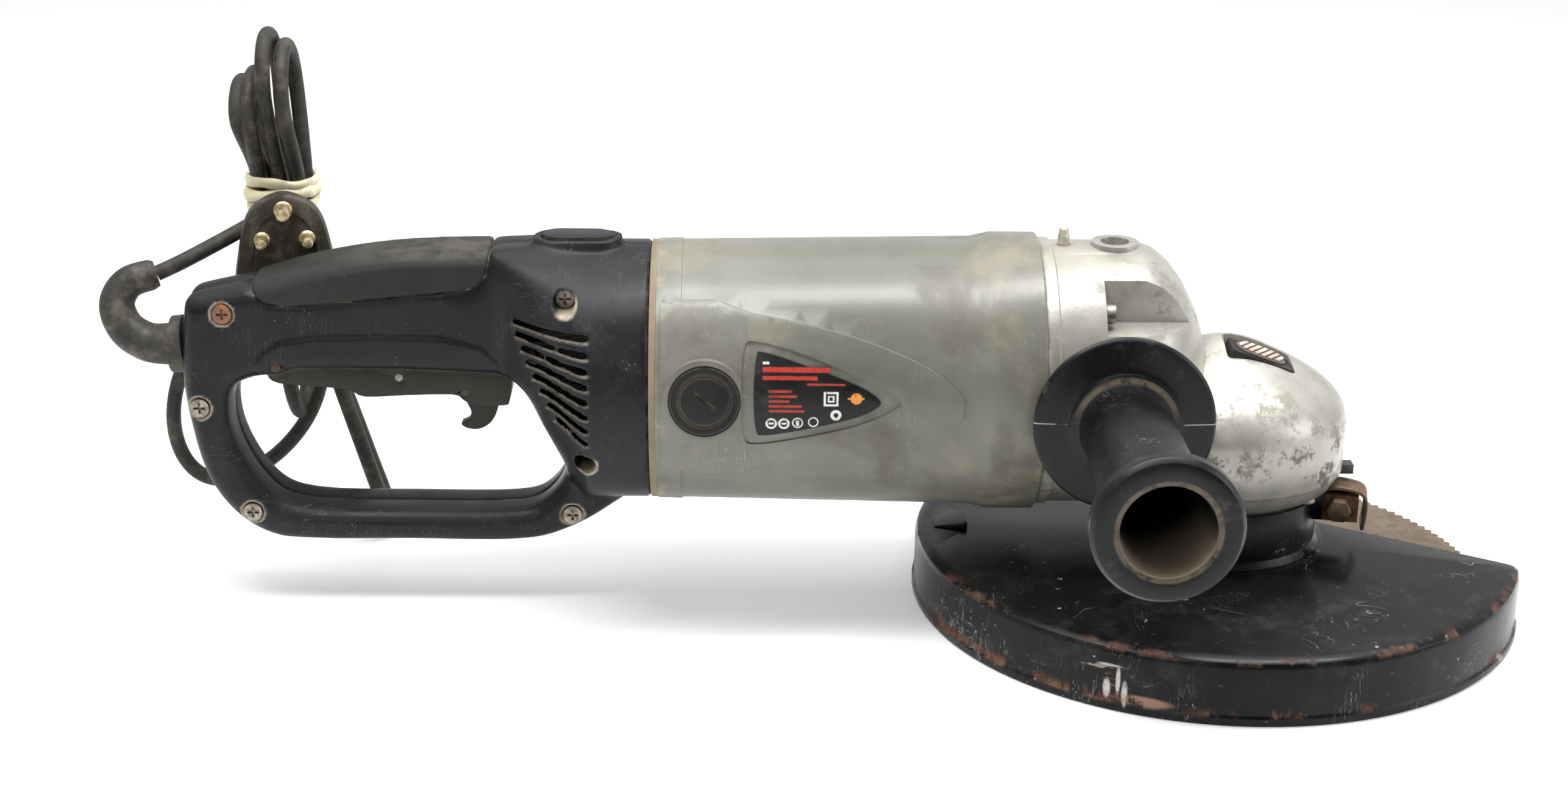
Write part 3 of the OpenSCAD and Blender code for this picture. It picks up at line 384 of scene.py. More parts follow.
def side_plastic():
    """The side handle: black, with dust at its foot, a pale parting line, and a pale colour in its lower
    bore and at its lip that is partly dust and partly painted light.
    """
    s = Shader("side_plastic", Specular_IOR_Level=0.25)
    offset = s.node("VectorMath", {0: s.place, 1: tuple(at(SIDE_X, 0, AXIS_Z))},
                    operation="SUBTRACT").outputs[0]
    flat = s.node("VectorMath", {0: offset, 1: (1, 0, 1)}, operation="MULTIPLY").outputs[0]
    radius = s.node("VectorMath", {0: flat}, operation="LENGTH").outputs["Value"]
    height = s.node("SeparateXYZ", {0: offset}).outputs["Z"]
    patch = s.band(s.noise(22, 5, 0.6), 0.35, 0.7)
    colour = s.mix(patch, (0.0036, 0.0037, 0.0042), (0.0085, 0.0087, 0.0095))
    fine = s.times(s.band(s.noise(150, 5, 0.75), 0.5, 0.72), s.band(s.noise(25, 3), 0.45, 0.65))
    colour = s.mix(s.times(fine, 0.3), colour, (0.12, 0.11, 0.095))
    marks = s.most(scratches(s, 60, 0.43), scratches(s, 80, 0.41, 2))
    colour = s.mix(s.times(marks, 0.4), colour, (0.20, 0.19, 0.18))
    ragged = s.band(s.noise(140, 5, 0.7), 0.3, 0.55)
    foot = s.times(s.band(radius, 0.0184, 0.0194), s.band(radius, 0.0204, 0.0218, 1, 0),
                   s.along("Y", -72, -70), s.less(s.along("Y", -67.6, -66.8)),
                   s.band(height, 0.001, 0.012), ragged)
    # Partly dust, partly painted light: the lower inside of the bore near its mouth, and the lip, are
    # painted pale where they are lit.
    bore = s.times(s.band(radius, 0.0176, 0.0184, 1, 0), s.less(s.along("Y", -168, -125)),
                   s.band(height, -0.012, 0.004, 1, 0),
                   s.along("Y", -173.2, -172.2))
    mouth = s.times(s.band(radius, 0.0172, 0.0178), s.band(radius, 0.0192, 0.0200, 1, 0),
                    s.less(s.along("Y", -172, -170)))
    # dusty holds the dust at the foot and the dust and painted light in the bore and at its lip.
    dusty = s.most(s.times(foot, 0.5), s.times(bore, 0.9), s.times(mouth, ragged, 0.45))
    colour = s.mix(dusty, colour, (0.23, 0.185, 0.13))
    seam = s.times(s.band(s.math("ABSOLUTE", s.math("ADD", height, -0.0008)), 0.00012, 0.0003, 1, 0),
                   s.band(radius, 0.0228, 0.0232), s.along("Y", -68, -67),
                   s.less(s.along("Y", -65, -64)))
    seam = s.times(seam, s.band(s.noise(90, 3), 0.3, 0.45))
    colour = s.mix(s.times(seam, 0.85), colour, (0.5, 0.47, 0.40))
    rim = s.times(s.edge(0.53, 0.60), s.band(s.noise(70, 4, 0.7), 0.4, 0.6), 0.25)
    colour = s.mix(rim, colour, (0.20, 0.19, 0.17))
    roughness = s.math("ADD", s.band(patch, 0, 1, 0.30, 0.42), s.times(dusty, 0.35))
    normal = s.bump(0.10, 0.12, s.noise(1400, 2, 0.5))
    normal = s.bump(0.2, 0.3, s.noise(30, 3, 0.5), normal)
    return s.finish(colour, roughness, normal)


LOCK_MIDDLE = (11.5, -7.3, 107.6)
LOCK_TILT = math.radians(20)


def lock_plastic():
    """The lock button: a dark block with a pale ribbed pad."""
    s = Shader("lock_plastic")
    offset = s.node("VectorMath", {0: s.place, 1: tuple(at(*LOCK_MIDDLE))},
                    operation="SUBTRACT").outputs[0]
    up = (math.sin(LOCK_TILT), 0, math.cos(LOCK_TILT))
    height = s.node("VectorMath", {0: offset, 1: up}, operation="DOT_PRODUCT").outputs["Value"]
    colour = s.mix(s.band(s.noise(70, 4), 0.35, 0.7), (0.012, 0.0125, 0.013), (0.030, 0.029, 0.027))
    stain = s.band(s.noise(90, 5, 0.7), 0.45, 0.6)
    side = s.band(height, 0.0005, 0.0022, 1, 0)
    colour = s.mix(s.times(side, stain, 0.6), colour, (0.16, 0.12, 0.075))
    groove = s.band(height, 0.0028, 0.0032)
    colour = s.mix(groove, colour, (0.16, 0.125, 0.105))
    rib = s.band(height, 0.0037, 0.0041)
    colour = s.mix(rib, colour, s.mix(stain, (0.62, 0.52, 0.47), (0.42, 0.33, 0.28)))
    return s.finish(colour, 0.45, s.bump(0.2, 0.2, s.noise(500, 3)))


def guard_paint():
    s = Shader("guard_paint", Specular_IOR_Level=0.2)
    z = s.axis("Z")
    low = s.times(s.band(z, 0.0028, 0.0042), s.band(z, 0.0045, 0.0085, 1, 0))
    top_edge = s.times(s.band(z, 0.0245, 0.0262), s.band(z, 0.0270, 0.0276, 1, 0), 0.6)
    skirt = s.band(z, 0.016, 0.024, 1, 0)
    colour = s.mix(s.band(s.noise(30, 5), 0.35, 0.7), (0.0028, 0.003, 0.0033), (0.0065, 0.0067, 0.007))
    dusty = s.times(s.band(s.noise(60, 6, 0.75), 0.5, 0.75), s.band(s.noise(12, 3), 0.42, 0.6))
    colour = s.mix(s.times(dusty, 0.12), colour, (0.18, 0.17, 0.155))
    chips = s.times(s.band(s.noise(210, 5, 0.7), 0.66, 0.69), s.band(s.noise(24, 2), 0.42, 0.55))
    colour = s.mix(chips, colour, (0.33, 0.31, 0.28))
    marks = s.most(scratches(s, 45, 0.42, 1), scratches(s, 75, 0.42, 2), scratches(s, 55, 0.42))
    colour = s.mix(s.times(marks, s.math("ADD", 0.35, s.times(skirt, 0.5))), colour,
                   (0.50, 0.48, 0.44))
    scrape = s.times(s.band(s.noise(38, 3, 0.6, s.scaled(1, 1, 2.5, (5, 3, 1))), 0.66, 0.70), skirt)
    colour = s.mix(s.times(scrape, 0.7), colour, (0.42, 0.36, 0.31))
    ragged = s.times(s.band(s.noise(70, 5, 0.7, s.scaled(1, 1, 0.6)), 0.45, 0.56),
                     s.band(s.noise(16, 2), 0.42, 0.52))
    lugs = s.times(s.band(z, 0.037, 0.039), s.along("X", 41.5, 43))
    rusty = s.most(s.times(low, ragged), s.times(top_edge, s.band(s.noise(40, 4, 0.7), 0.5, 0.58)),
                   s.times(lugs, s.band(s.noise(80, 4, 0.7), 0.25, 0.5)))
    front = s.less(s.along("Y", -100, -90))
    strokes = s.blots([(-60, 9, 1.6, 5), (-56, 13, 1.0, 7), (-53.5, 8, 1.3, 6), (-59, 19, 5, 0.7)])
    strokes = s.times(strokes, front, skirt, s.band(s.noise(170, 4, 0.7), 0.3, 0.5))
    colour = s.mix(strokes, colour, (0.55, 0.50, 0.46))
    pink = s.times(s.blots([(-47, 6, 13, 2.6)]), front, s.band(s.noise(90, 5, 0.7), 0.4, 0.5))
    colour = s.mix(pink, colour, (0.30, 0.17, 0.12))
    shade = s.band(s.noise(260, 4, 0.7), 0.35, 0.7)
    colour = s.mix(rusty, colour, s.mix(shade, DARK_RUST, (0.19, 0.10, 0.065)))
    worn = s.most(rusty, chips)
    roughness = s.math("ADD", s.band(s.noise(20, 4), 0.3, 0.7, 0.16, 0.34), s.times(worn, 0.5))
    normal = s.bump(0.5, 0.3, s.times(worn, s.noise(500, 3)))
    normal = s.bump(0.15, 0.8, s.noise(14, 3, 0.5), normal)
    return s.finish(colour, roughness, normal)


def disc_steel():
    s = Shader("disc_steel")
    offset = s.node("VectorMath", {0: s.place, 1: tuple(SPINDLE)}, operation="SUBTRACT").outputs[0]
    radius = s.node("VectorMath", {0: offset}, operation="LENGTH").outputs["Value"]
    rings = s.noise(1.0, 3, 0.6, s.node("CombineXYZ", {0: s.times(radius, 700.0)}).outputs[0])
    rough_patch = s.band(s.noise(60, 6, 0.7), 0.35, 0.65)
    colour = s.mix(rough_patch, (0.105, 0.072, 0.048), (0.175, 0.135, 0.098))
    colour = s.mix(s.times(s.band(s.noise(200, 4, 0.7), 0.5, 0.7), 0.6), colour, (0.085, 0.045, 0.025))
    colour = s.mix(s.times(s.band(rings, 0.4, 0.7), 0.35), colour, (0.24, 0.21, 0.17))
    normal = s.bump(0.35, 0.2, s.math("ADD", rings, s.noise(600, 3)))
    return s.finish(colour, s.band(rough_patch, 0, 1, 0.5, 0.75), normal, 0.35)


def steel(name, base, rough, rust=0.2, scale=90.0):
    s = Shader(name)
    grain = s.band(s.noise(scale, 5, 0.6), 0.35, 0.7)
    colour = s.mix(grain, base, tuple(min(1, c * 1.5) for c in base))
    patches = s.times(s.band(s.noise(scale * 1.4, 5, 0.75), 0.62 - 0.3 * rust, 0.7), min(1, rust * 2))
    patches = s.most(patches, s.times(s.crevice(1.5), min(1, rust * 2)))
    tint = s.mix(s.band(s.noise(scale * 5, 3), 0.4, 0.6), DARK_RUST, RUST)
    colour = s.mix(patches, colour, tint)
    roughness = s.math("ADD", s.band(grain, 0, 1, rough, rough + 0.12), s.times(patches, 0.35))
    normal = s.bump(0.25, 0.1, s.noise(900, 3, 0.6))
    return s.finish(colour, roughness, normal, s.band(patches, 0, 1, 0.95, 0.15))


def handle_screw_metal():
    """Dusty grey screws, with painted shade in their slots and recesses; the one at the handle's rear top
    has rusted.
    """
    s = Shader("handle_screw_metal")
    grain = s.band(s.noise(500, 4, 0.7), 0.35, 0.65)
    colour = s.mix(grain, (0.16, 0.14, 0.11), (0.40, 0.36, 0.29))
    # Painted shade: slots and recesses that ambient occlusion finds are darkened almost to black.
    corner = s.crevice(1.2, 0.4, 0.9)
    colour = s.mix(s.times(corner, 0.8), colour, (0.05, 0.04, 0.03))
    rusted = s.times(s.blots([(SCREWS[0][0], SCREWS[0][1], 8, 8)]), s.band(grain, 0, 1, 0.6, 1))
    colour = s.mix(rusted, colour, s.mix(grain, (0.10, 0.035, 0.015), (0.30, 0.12, 0.05)))
    normal = s.bump(0.3, 0.1, s.noise(900, 3, 0.6))
    return s.finish(colour, 0.5, normal, s.band(rusted, 0, 1, 0.5, 0.05))


def cord_rubber(name, base, lighter, dust_amount):
    s = Shader(name)
    patch = s.band(s.noise(45, 5, 0.65), 0.35, 0.68)
    colour = s.mix(patch, base, lighter)
    dusty = s.times(s.band(s.noise(110, 5, 0.75), 0.45, 0.7), dust_amount)
    colour = s.mix(dusty, colour, (0.20, 0.165, 0.12))
    corner = s.times(s.crevice(2.0), 0.35)
    colour = s.mix(corner, colour, (0.12, 0.10, 0.07))
    normal = s.bump(0.35, 0.2, s.noise(380, 4, 0.65))
    return s.finish(colour, s.band(patch, 0, 1, 0.52, 0.72), normal)


def windings(name, base, x_scale):
    s = Shader(name)
    wires = s.math("SINE", s.times(s.axis("X"), x_scale))
    colour = s.mix(s.band(wires, -0.6, 0.9), tuple(c * 0.35 for c in base), base)
    colour = s.mix(s.times(s.band(s.noise(90, 4), 0.4, 0.7), 0.5), colour, tuple(c * 0.6 for c in base))
    return s.finish(colour, 0.38, s.bump(0.7, 0.3, wires), 0.8)


def tie_rubber():
    s = Shader("tie_rubber")
    patch = s.band(s.noise(90, 5, 0.65), 0.35, 0.7)
    colour = s.mix(patch, (0.66, 0.60, 0.38), (0.80, 0.76, 0.58))
    # Painted shade: the rubber is darkened in the corners between the wraps and the cord that ambient
    # occlusion finds.
    colour = s.mix(s.times(s.crevice(1.5), 0.6), colour, (0.30, 0.26, 0.14))
    stain = s.band(s.noise(160, 4, 0.7), 0.58, 0.7)
    colour = s.mix(s.times(stain, 0.5), colour, (0.38, 0.34, 0.2))
    return s.finish(colour, 0.5, s.bump(0.4, 0.2, s.noise(420, 3)))


def print_ink(name, base):
    s = Shader(name)
    worn = s.band(s.noise(520, 5, 0.7), 0.52, 0.66)
    colour = s.mix(s.times(worn, 0.7), base, tuple(c * 0.25 for c in base))
    return s.finish(colour, 0.4)


def pale_floor():
    s = Shader("pale_floor")
    colour = s.mix(s.noise(3, 3), (0.80, 0.80, 0.81), (0.83, 0.83, 0.835))
    s.surface.inputs["Emission Color"].default_value = (1, 1, 1, 1)
    s.surface.inputs["Emission Strength"].default_value = 0.28
    return s.finish(colour, 0.6, s.bump(0.05, 0.5, s.noise(120, 3)))


# ---- mesh helpers ----------------------------------------------------------------------

def new_piece(name, mesh, body, material, angle=35):
    piece = bpy.data.objects.new(name, mesh)
    bpy.context.scene.collection.objects.link(piece)
    mesh.materials.clear()
    mesh.materials.append(material)
    smooth(mesh, angle)
    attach(piece, body)
    return piece


def smooth(mesh, angle=35):
    mesh.shade_smooth()
    mesh.set_sharp_from_angle(angle=math.radians(angle))


def mesh_from(name, points, faces):
    mesh = bpy.data.meshes.new(name)
    mesh.from_pydata([tuple(at(*p)) for p in points], [], faces)
    mesh.update()
    return mesh


def evaluated(piece):
    """Applies a loose object's modifiers and returns the mesh that they make."""
    graph = bpy.context.evaluated_depsgraph_get()
    return bpy.data.meshes.new_from_object(piece.evaluated_get(graph))


def remeshed(node, name, voxel, rounds, strength=None):
    """A copy of a CAD node's mesh, remade of even faces and smoothed.

    strength(points) gives how strongly each point, in millimetres, is smoothed.
    """
    source = bpy.data.objects.new(name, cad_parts[node].data.copy())
    bpy.context.scene.collection.objects.link(source)
    weld = source.modifiers.new("weld", "WELD")
    weld.merge_threshold = 0.00001
    remesh = source.modifiers.new("remesh", "REMESH")
    remesh.mode = "VOXEL"
    remesh.voxel_size = voxel * MM
    bpy.context.view_layer.update()
    mesh = evaluated(source)
    bpy.data.objects.remove(source)
    relax(mesh, rounds, strength)
    return mesh


def coordinates(mesh):
    points = np.zeros(len(mesh.vertices) * 3)
    mesh.vertices.foreach_get("co", points)
    return points.reshape(-1, 3)


def normals(mesh):
    found = np.zeros(len(mesh.vertices) * 3)
    mesh.vertex_normals.foreach_get("vector", found)
    return found.reshape(-1, 3)


def move_to(mesh, points):
    mesh.vertices.foreach_set("co", points.astype(np.float32).ravel())
    mesh.update()


def relax(mesh, rounds, strength=None):
    """Moves each point towards the middle of its neighbours."""
    edges = np.zeros(len(mesh.edges) * 2, int)
    mesh.edges.foreach_get("vertices", edges)
    a, b = edges.reshape(-1, 2).T
    points = coordinates(mesh)
    count = np.bincount(a, minlength=len(points)) + np.bincount(b, minlength=len(points))
    share = 0.5 if strength is None else 0.5 * strength(local(points))[:, None]
    for _ in range(rounds):
        middle = np.zeros_like(points)
        for axis in range(3):
            middle[:, axis] = (np.bincount(a, points[b, axis], len(points))
                               + np.bincount(b, points[a, axis], len(points)))
        middle /= count[:, None]
        points += share * (middle - points)
    move_to(mesh, points)


def paint(mesh, name, values):
    attribute = mesh.attributes.new(name, "FLOAT", "POINT")
    attribute.data.foreach_set("value", np.clip(values, 0, 1).astype(np.float32))


def step(values, low, high):
    t = np.clip((values - low) / (high - low), 0, 1)
    return t * t * (3 - 2 * t)


def line_distance(points, line, closed=False):
    """Distance in the x-z plane from each point to a line of (x, z) points."""
    flat = points[:, [0, 2]]
    line = np.asarray(line, float)
    ends = np.roll(line, -1, 0) if closed else line[1:]
    starts = line if closed else line[:-1]
    best = np.full(len(flat), np.inf)
    for p, q in zip(starts, ends):
        d = q - p
        t = np.clip(((flat - p) @ d) / max(d @ d, 1e-9), 0, 1)
        best = np.minimum(best, np.linalg.norm(flat - p - t[:, None] * d, axis=1))
    return best


def inside(points, outline):
    """Whether each point lies inside an outline in the x-z plane."""
    x, z = points[:, 0], points[:, 2]
    found = np.zeros(len(points), bool)
    for (x1, z1), (x2, z2) in zip(outline, outline[1:] + outline[:1]):
        if z1 != z2:
            crosses = (z1 > z) != (z2 > z)
            found ^= crosses & (x < (x2 - x1) * (z - z1) / (z2 - z1) + x1)
    return found


def smooth_line(points, steps, closed=False):
    """A smooth line through the points, by the Catmull-Rom rule."""
    p = np.asarray(points, float)
    n = len(p)
    made = []
    for i in range(n if closed else n - 1):
        if closed:
            a, b, c, d = (p[(i + k) % n] for k in (-1, 0, 1, 2))
        else:
            a, b, c, d = p[max(i - 1, 0)], p[i], p[i + 1], p[min(i + 2, n - 1)]
        for k in range(steps):
            t = k / steps
            made.append(0.5 * (2 * b + (c - a) * t + (2 * a - 5 * b + 4 * c - d) * t * t
                               + (3 * b - a - 3 * c + d) * t ** 3))
    if not closed:
        made.append(p[-1])
    return np.array(made)


def tube(name, line, radii, sides=16, close=True):
    """A tube along a line of points in millimetres."""
    line = np.asarray(line, float)
    n = len(line)
    tangent = np.gradient(line, axis=0)
    tangent /= np.linalg.norm(tangent, axis=1)[:, None]
    normal = np.cross(tangent[0], (0.3, 1, 0.2))
    points, faces = [], []
    for i in range(n):
        normal = normal - tangent[i] * (normal @ tangent[i])
        normal /= np.linalg.norm(normal)
        other = np.cross(tangent[i], normal)
        for k in range(sides):
            a = 2 * math.pi * k / sides
            points.append(line[i] + radii[i] * (math.cos(a) * normal + math.sin(a) * other))
    for i in range(n - 1):
        for k in range(sides):
            j = (k + 1) % sides
            faces.append((i * sides + k, i * sides + j, (i + 1) * sides + j, (i + 1) * sides + k))
    if close:
        faces.append(tuple(reversed(range(sides))))
        faces.append(tuple(range((n - 1) * sides, n * sides)))
    return mesh_from(name, points, faces)


def softened(node, material, width=0.35, angle=35, segments=2):
    """Keeps a CAD node, with rounded edges and a finished material."""
    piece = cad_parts[node]
    piece.data.materials.clear()
    piece.data.materials.append(material)
    piece.data.shade_smooth()
    weld = piece.modifiers.new("weld", "WELD")
    weld.merge_threshold = 0.00001
    if width:
        bevel = piece.modifiers.new("bevel", "BEVEL")
        bevel.width = width * MM
        bevel.segments = segments
        bevel.limit_method = "ANGLE"
        bevel.angle_limit = math.radians(angle)
        bevel.harden_normals = False
    return piece


# ---- the cord ----------------------------------------------------------------------------

CORD_D = 6.5
SLEEVE_TIP = (-444, 12, 135.6)
CORD_ROUTE = [
    SLEEVE_TIP, (-436, 15, 138.6), (-426, 24, 142.5), (-416, 35, 146), (-408, 46, 149),
    # tall loop above the tie, at the right
    (-402, 53, 150), (-399, 54.5, 158), (-399, 54, 168), (-400.5, 49, 183), (-401.5, 45, 198),
    (-402, 44, 206), (-402.5, 49, 220), (-402.5, 63, 228), (-402.5, 77, 220), (-402, 82, 207),
    (-401, 79, 192), (-399.5, 73, 174), (-399, 71.5, 158),
    # wide loop below it
    (-401, 68, 142), (-412, 61, 124), (-429, 54, 108), (-444, 50, 86), (-452, 48, 62),
    (-449, 49, 38), (-436, 50, 26.5), (-418, 52, 31), (-400, 55, 45), (-388, 59, 64),
    (-384, 61, 90), (-390, 60, 120), (-402, 57, 143),
    # loop above the tie, at the left
    (-408, 54.5, 154), (-408, 54, 166), (-408, 50, 176), (-408.5, 45.5, 187),
    (-409, 43.5, 194), (-409, 49, 205), (-409, 62, 211), (-409, 76, 205), (-409, 82.5, 193),
    (-408.5, 78, 180), (-408, 73, 168), (-407.5, 71.5, 156),
    # long loop that stands on the floor
    (-404, 74, 140), (-397, 79, 115), (-388.5, 82, 85), (-377.5, 83, 50), (-369.5, 82, 24),
    (-363, 77, 9), (-359, 64, 3.8), (-358.5, 51, 9), (-361.5, 45, 24), (-369, 45, 50),
    (-380, 47, 85), (-387.5, 50, 115), (-391, 53, 140),
    # second tall loop
    (-391, 54.5, 154), (-391, 54, 166), (-392.5, 48.5, 180), (-394, 44.5, 194),
    (-394.5, 43.5, 203), (-395, 49, 216), (-395.5, 63, 223), (-395.5, 77, 216),
    (-395, 82, 203), (-393.5, 79, 188), (-391.5, 73, 170), (-391, 71.5, 156),
    # short loop
    (-392, 71, 143), (-394, 75, 123), (-396, 80, 100), (-397, 81, 78), (-396, 75, 62),
    (-396, 61, 56.5), (-396.5, 48, 62), (-398, 42.5, 78), (-400, 44, 98), (-404, 51, 120),
    (-408, 60, 143),
    # second loop at the left
    (-408.5, 63, 156), (-409, 60, 166), (-410.5, 53.5, 177), (-413, 47.5, 187),
    (-414, 45, 193), (-414.5, 50, 202), (-414.5, 62, 207), (-414.5, 75, 202), (-413.5, 80, 192),
    (-410, 76, 181), (-403, 67, 170), (-399, 63, 160),
    # tail that rises to the plug
    (-398, 64, 143), (-398, 66, 120), (-397, 61, 102), (-395, 49, 95), (-394, 37, 99),
    (-394, 31, 112), (-394, 31, 124.5),
]


def make_cord(material):
    line = smooth_line(CORD_ROUTE, 10)
    for _ in range(60):
        line[1:-1] += 0.5 * ((line[:-2] + line[2:]) / 2 - line[1:-1])
    line[:, 2] = np.maximum(line[:, 2], CORD_D / 2 + 0.1)
    data = bpy.data.curves.new("mains_cord", "CURVE")
    data.dimensions = "3D"
    data.bevel_depth = CORD_D / 2 * MM
    data.bevel_resolution = 5
    data.use_fill_caps = True
    spline = data.splines.new("POLY")
    spline.points.add(len(line) - 1)
    for point, place in zip(spline.points, line):
        point.co = (*at(*place), 1)
    spline.use_smooth = True
    data.materials.append(material)
    cord = bpy.data.objects.new("mains_cord", data)
    bpy.context.scene.collection.objects.link(cord)
    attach(cord, "rear_handle")
    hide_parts("cord", "cord_hank", "cord_tail")
    length = np.linalg.norm(np.diff(line, axis=0), axis=1).sum() * MM
    return cord, length


SLEEVE_ROUTE = [(-431, 0, 109.5), (-437, 0, 109), (-447, 0.6, 109.6), (-456, 2.5, 115),
                (-459.6, 5, 124.5), (-455, 8.5, 132.6), (-444, 12, 135.6)]


def make_sleeve(material):
    line = smooth_line(SLEEVE_ROUTE, 14)
    share = np.linspace(0, 1, len(line))
    radii = 9.3 - 3.0 * share ** 0.9
    radii[share < 0.16] = 11.8
    radii[(share > 0.16) & (share < 0.19)] = 8.6
    radii[share > 0.95] -= 0.9 * step(share[share > 0.95], 0.95, 1.0)
    return new_piece("cord_sleeve_bent", tube("cord_sleeve_bent", line, radii, 28),
                     "rear_handle", material, 50)


# ---- tie, plug and pins ------------------------------------------------------------------

TIE_MIDDLE = (-399.5, 63)


def make_tie(material):
    """Three wraps of a rubber band round the hank, with a twist at the front."""
    points, faces = [], []
    around, section = 72, 10
    wraps = [(154.4, 13.8, 13.6, 0.0), (159.0, 14.8, 14.3, 2.1), (163.2, 14.2, 13.8, 4.0)]
    for z0, half_x, half_y, phase in wraps:
        base = len(points)
        for k in range(around):
            a = 2 * math.pi * k / around
            corner = (abs(math.cos(a)) ** 3 + abs(math.sin(a)) ** 3) ** (-1 / 3)
            wave = 1.0 * math.sin(a + phase) + 0.5 * math.sin(3 * a + 2 * phase)
            twist = 0.5 * math.sin(2 * a + phase) + phase
            for m in range(section):
                b = 2 * math.pi * m / section
                thick = 1.3 * math.cos(b) * (1 + 0.15 * math.sin(9 * a + phase))
                tall = 2.7 * math.sin(b) * (1 + 0.12 * math.sin(7 * a))
                turn = 0.35 * math.sin(twist)
                out = thick * math.cos(turn) - tall * math.sin(turn)
                up = thick * math.sin(turn) + tall * math.cos(turn)
                points.append((TIE_MIDDLE[0] + (half_x + out) * corner * math.cos(a),
                               TIE_MIDDLE[1] + (half_y + out) * corner * math.sin(a),
                               z0 + wave + up))
        for k in range(around):
            j = (k + 1) % around
            for m in range(section):
                n = (m + 1) % section
                faces.append((base + k * section + m, base + k * section + n,
                              base + j * section + n, base + j * section + m))
    tie = new_piece("hank_tie_wraps", mesh_from("hank_tie_wraps", points, faces),
                    "rear_handle", material, 60)
    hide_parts("hank_tie")
    return tie


PLUG_FOOT = Vector((-394, 31, 124))
PLUG_EDGE = [(-410, 154), (-404, 161), (-394, 164.6), (-384, 161), (-378, 154), (-374.5, 140),
             (-373, 127), (-378, 122.5), (-394, 122), (-410, 122.5), (-415, 127), (-413.5, 140)]
PINS = [(-403.3, 145.6, 2.4, 16), (-384.7, 145.6, 2.4, 16), (-394, 157.8, 2.9, 19)]


def tilted(points):
    """Plug points in millimetres, turned about its foot towards the front and a little up."""
    turn = Matrix.Rotation(math.radians(10), 3, "Z") @ Matrix.Rotation(math.radians(-9), 3, "X")
    return [tuple(PLUG_FOOT + turn @ (Vector(p) - PLUG_FOOT)) for p in points]


def ring_stack(rings):
    """Faces that join rings of equal length, closed at both ends."""
    n = len(rings[0])
    points = [p for ring in rings for p in ring]
    faces = [tuple(range(n))[::-1]]
    for i in range(len(rings) - 1):
        for k in range(n):
            j = (k + 1) % n
            faces.append((i * n + k, i * n + j, (i + 1) * n + j, (i + 1) * n + k))
    faces.append(tuple(range((len(rings) - 1) * n, len(rings) * n)))
    return points, faces


def make_plug(rubber, metal):
    edge = smooth_line(PLUG_EDGE, 6, closed=True)
    middle = edge.mean(axis=0)
    rings = []
    # how far in from the edge, and how far from the face, each ring lies
    for inset, y in ((0.62, 22.6), (0.66, 22.6), (0.68, 21.6), (0.90, 21.2), (0.955, 21.6),
                     (0.99, 23.2), (1.0, 26), (1.0, 33), (0.985, 33.4), (0.985, 34.2),
                     (1.0, 34.6), (0.99, 37), (0.93, 39.4), (0.7, 40.4)):
        rings.append([(middle[0] + inset * (x - middle[0]), y, middle[1] + inset * (z - middle[1]))
                      for x, z in edge])
    points, faces = ring_stack(rings)
    body = new_piece("plug_shell", mesh_from("plug_shell", tilted(points), faces),
                     "rear_handle", rubber, 28)
    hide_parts("plug_body")
    points, faces = [], []
    for x, z, r, length in PINS:
        rings = []
        for radius, y in ((r + 1.0, 23), (r + 1.0, 21.4), (r + 0.5, 20.9), (r, 20.7),
                          (r, 20.8 - length + 1.6), (r * 0.86, 20.8 - length + 0.5),
                          (r * 0.5, 20.8 - length)):
            rings.append([(x + radius * math.cos(a), y, z + radius * math.sin(a))
                          for a in np.linspace(0, 2 * math.pi, 20, endpoint=False)])
        more, sides = ring_stack(rings)
        base = len(points)
        points += more
        faces += [tuple(base + k for k in face) for face in sides]
    pins = new_piece("plug_pins_round", mesh_from("plug_pins_round", tilted(points), faces),
                     "rear_handle", metal, 40)
    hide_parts("plug_pins")
    return body, pins


# ---- rear handle -------------------------------------------------------------------------

LEDGE = [(-400, 105), (-397, 110.5), (-390, 115), (-376, 117.2), (-350, 118), (-325, 117.6),
         (-308, 113.5), (-298, 104), (-296, 98)]
PAD_EDGE = [(-402, 143), (-399, 135.4), (-388, 131), (-360, 133.2), (-333, 136),
            (-313, 138.6), (-306, 144), (-303, 160)]


def vent_lines():
    """Middle lines of the air slots."""
    lines = []
    for i in range(8):
        x0 = -295 + 18 * (i / 7) ** 1.2
        share = np.linspace(0, 1, 9)
        x = x0 + (-262.4 - x0) * share
        z = 127.4 - 5.1 * i - (0.3 + i) * share * share * (3 - 2 * share)
        lines.append(list(zip(x, z)))
    return lines


def near_details(points):
    """1 beside holes and slots, where the shell keeps its edges, and 0 elsewhere."""
    near = np.zeros(len(points))
    for x, z in SCREWS + DEEP_SCREWS:
        distance = np.hypot(points[:, 0] - x, points[:, 2] - z)
        near = np.maximum(near, 1 - step(distance, 5.5, 8.5))
    for line in vent_lines():
        near = np.maximum(near, 1 - step(line_distance(points, line), 2.2, 4.5))
    near[np.abs(points[:, 1]) < 14] *= 0.4
    near = np.maximum(near, step(points[:, 0], -256, -250))
    return near


def shell_strength(points):
    return 1 - 0.88 * near_details(points)


def crease_strength(points):
    """Only the hollow between the arm and the round front is smoothed far."""
    x = points[:, 0]
    band = step(x, -324, -312) * (1 - step(x, -283, -272)) * step(points[:, 2], 84, 96)
    return band * (1 - near_details(points)) * step(np.abs(points[:, 1]), 12, 16)


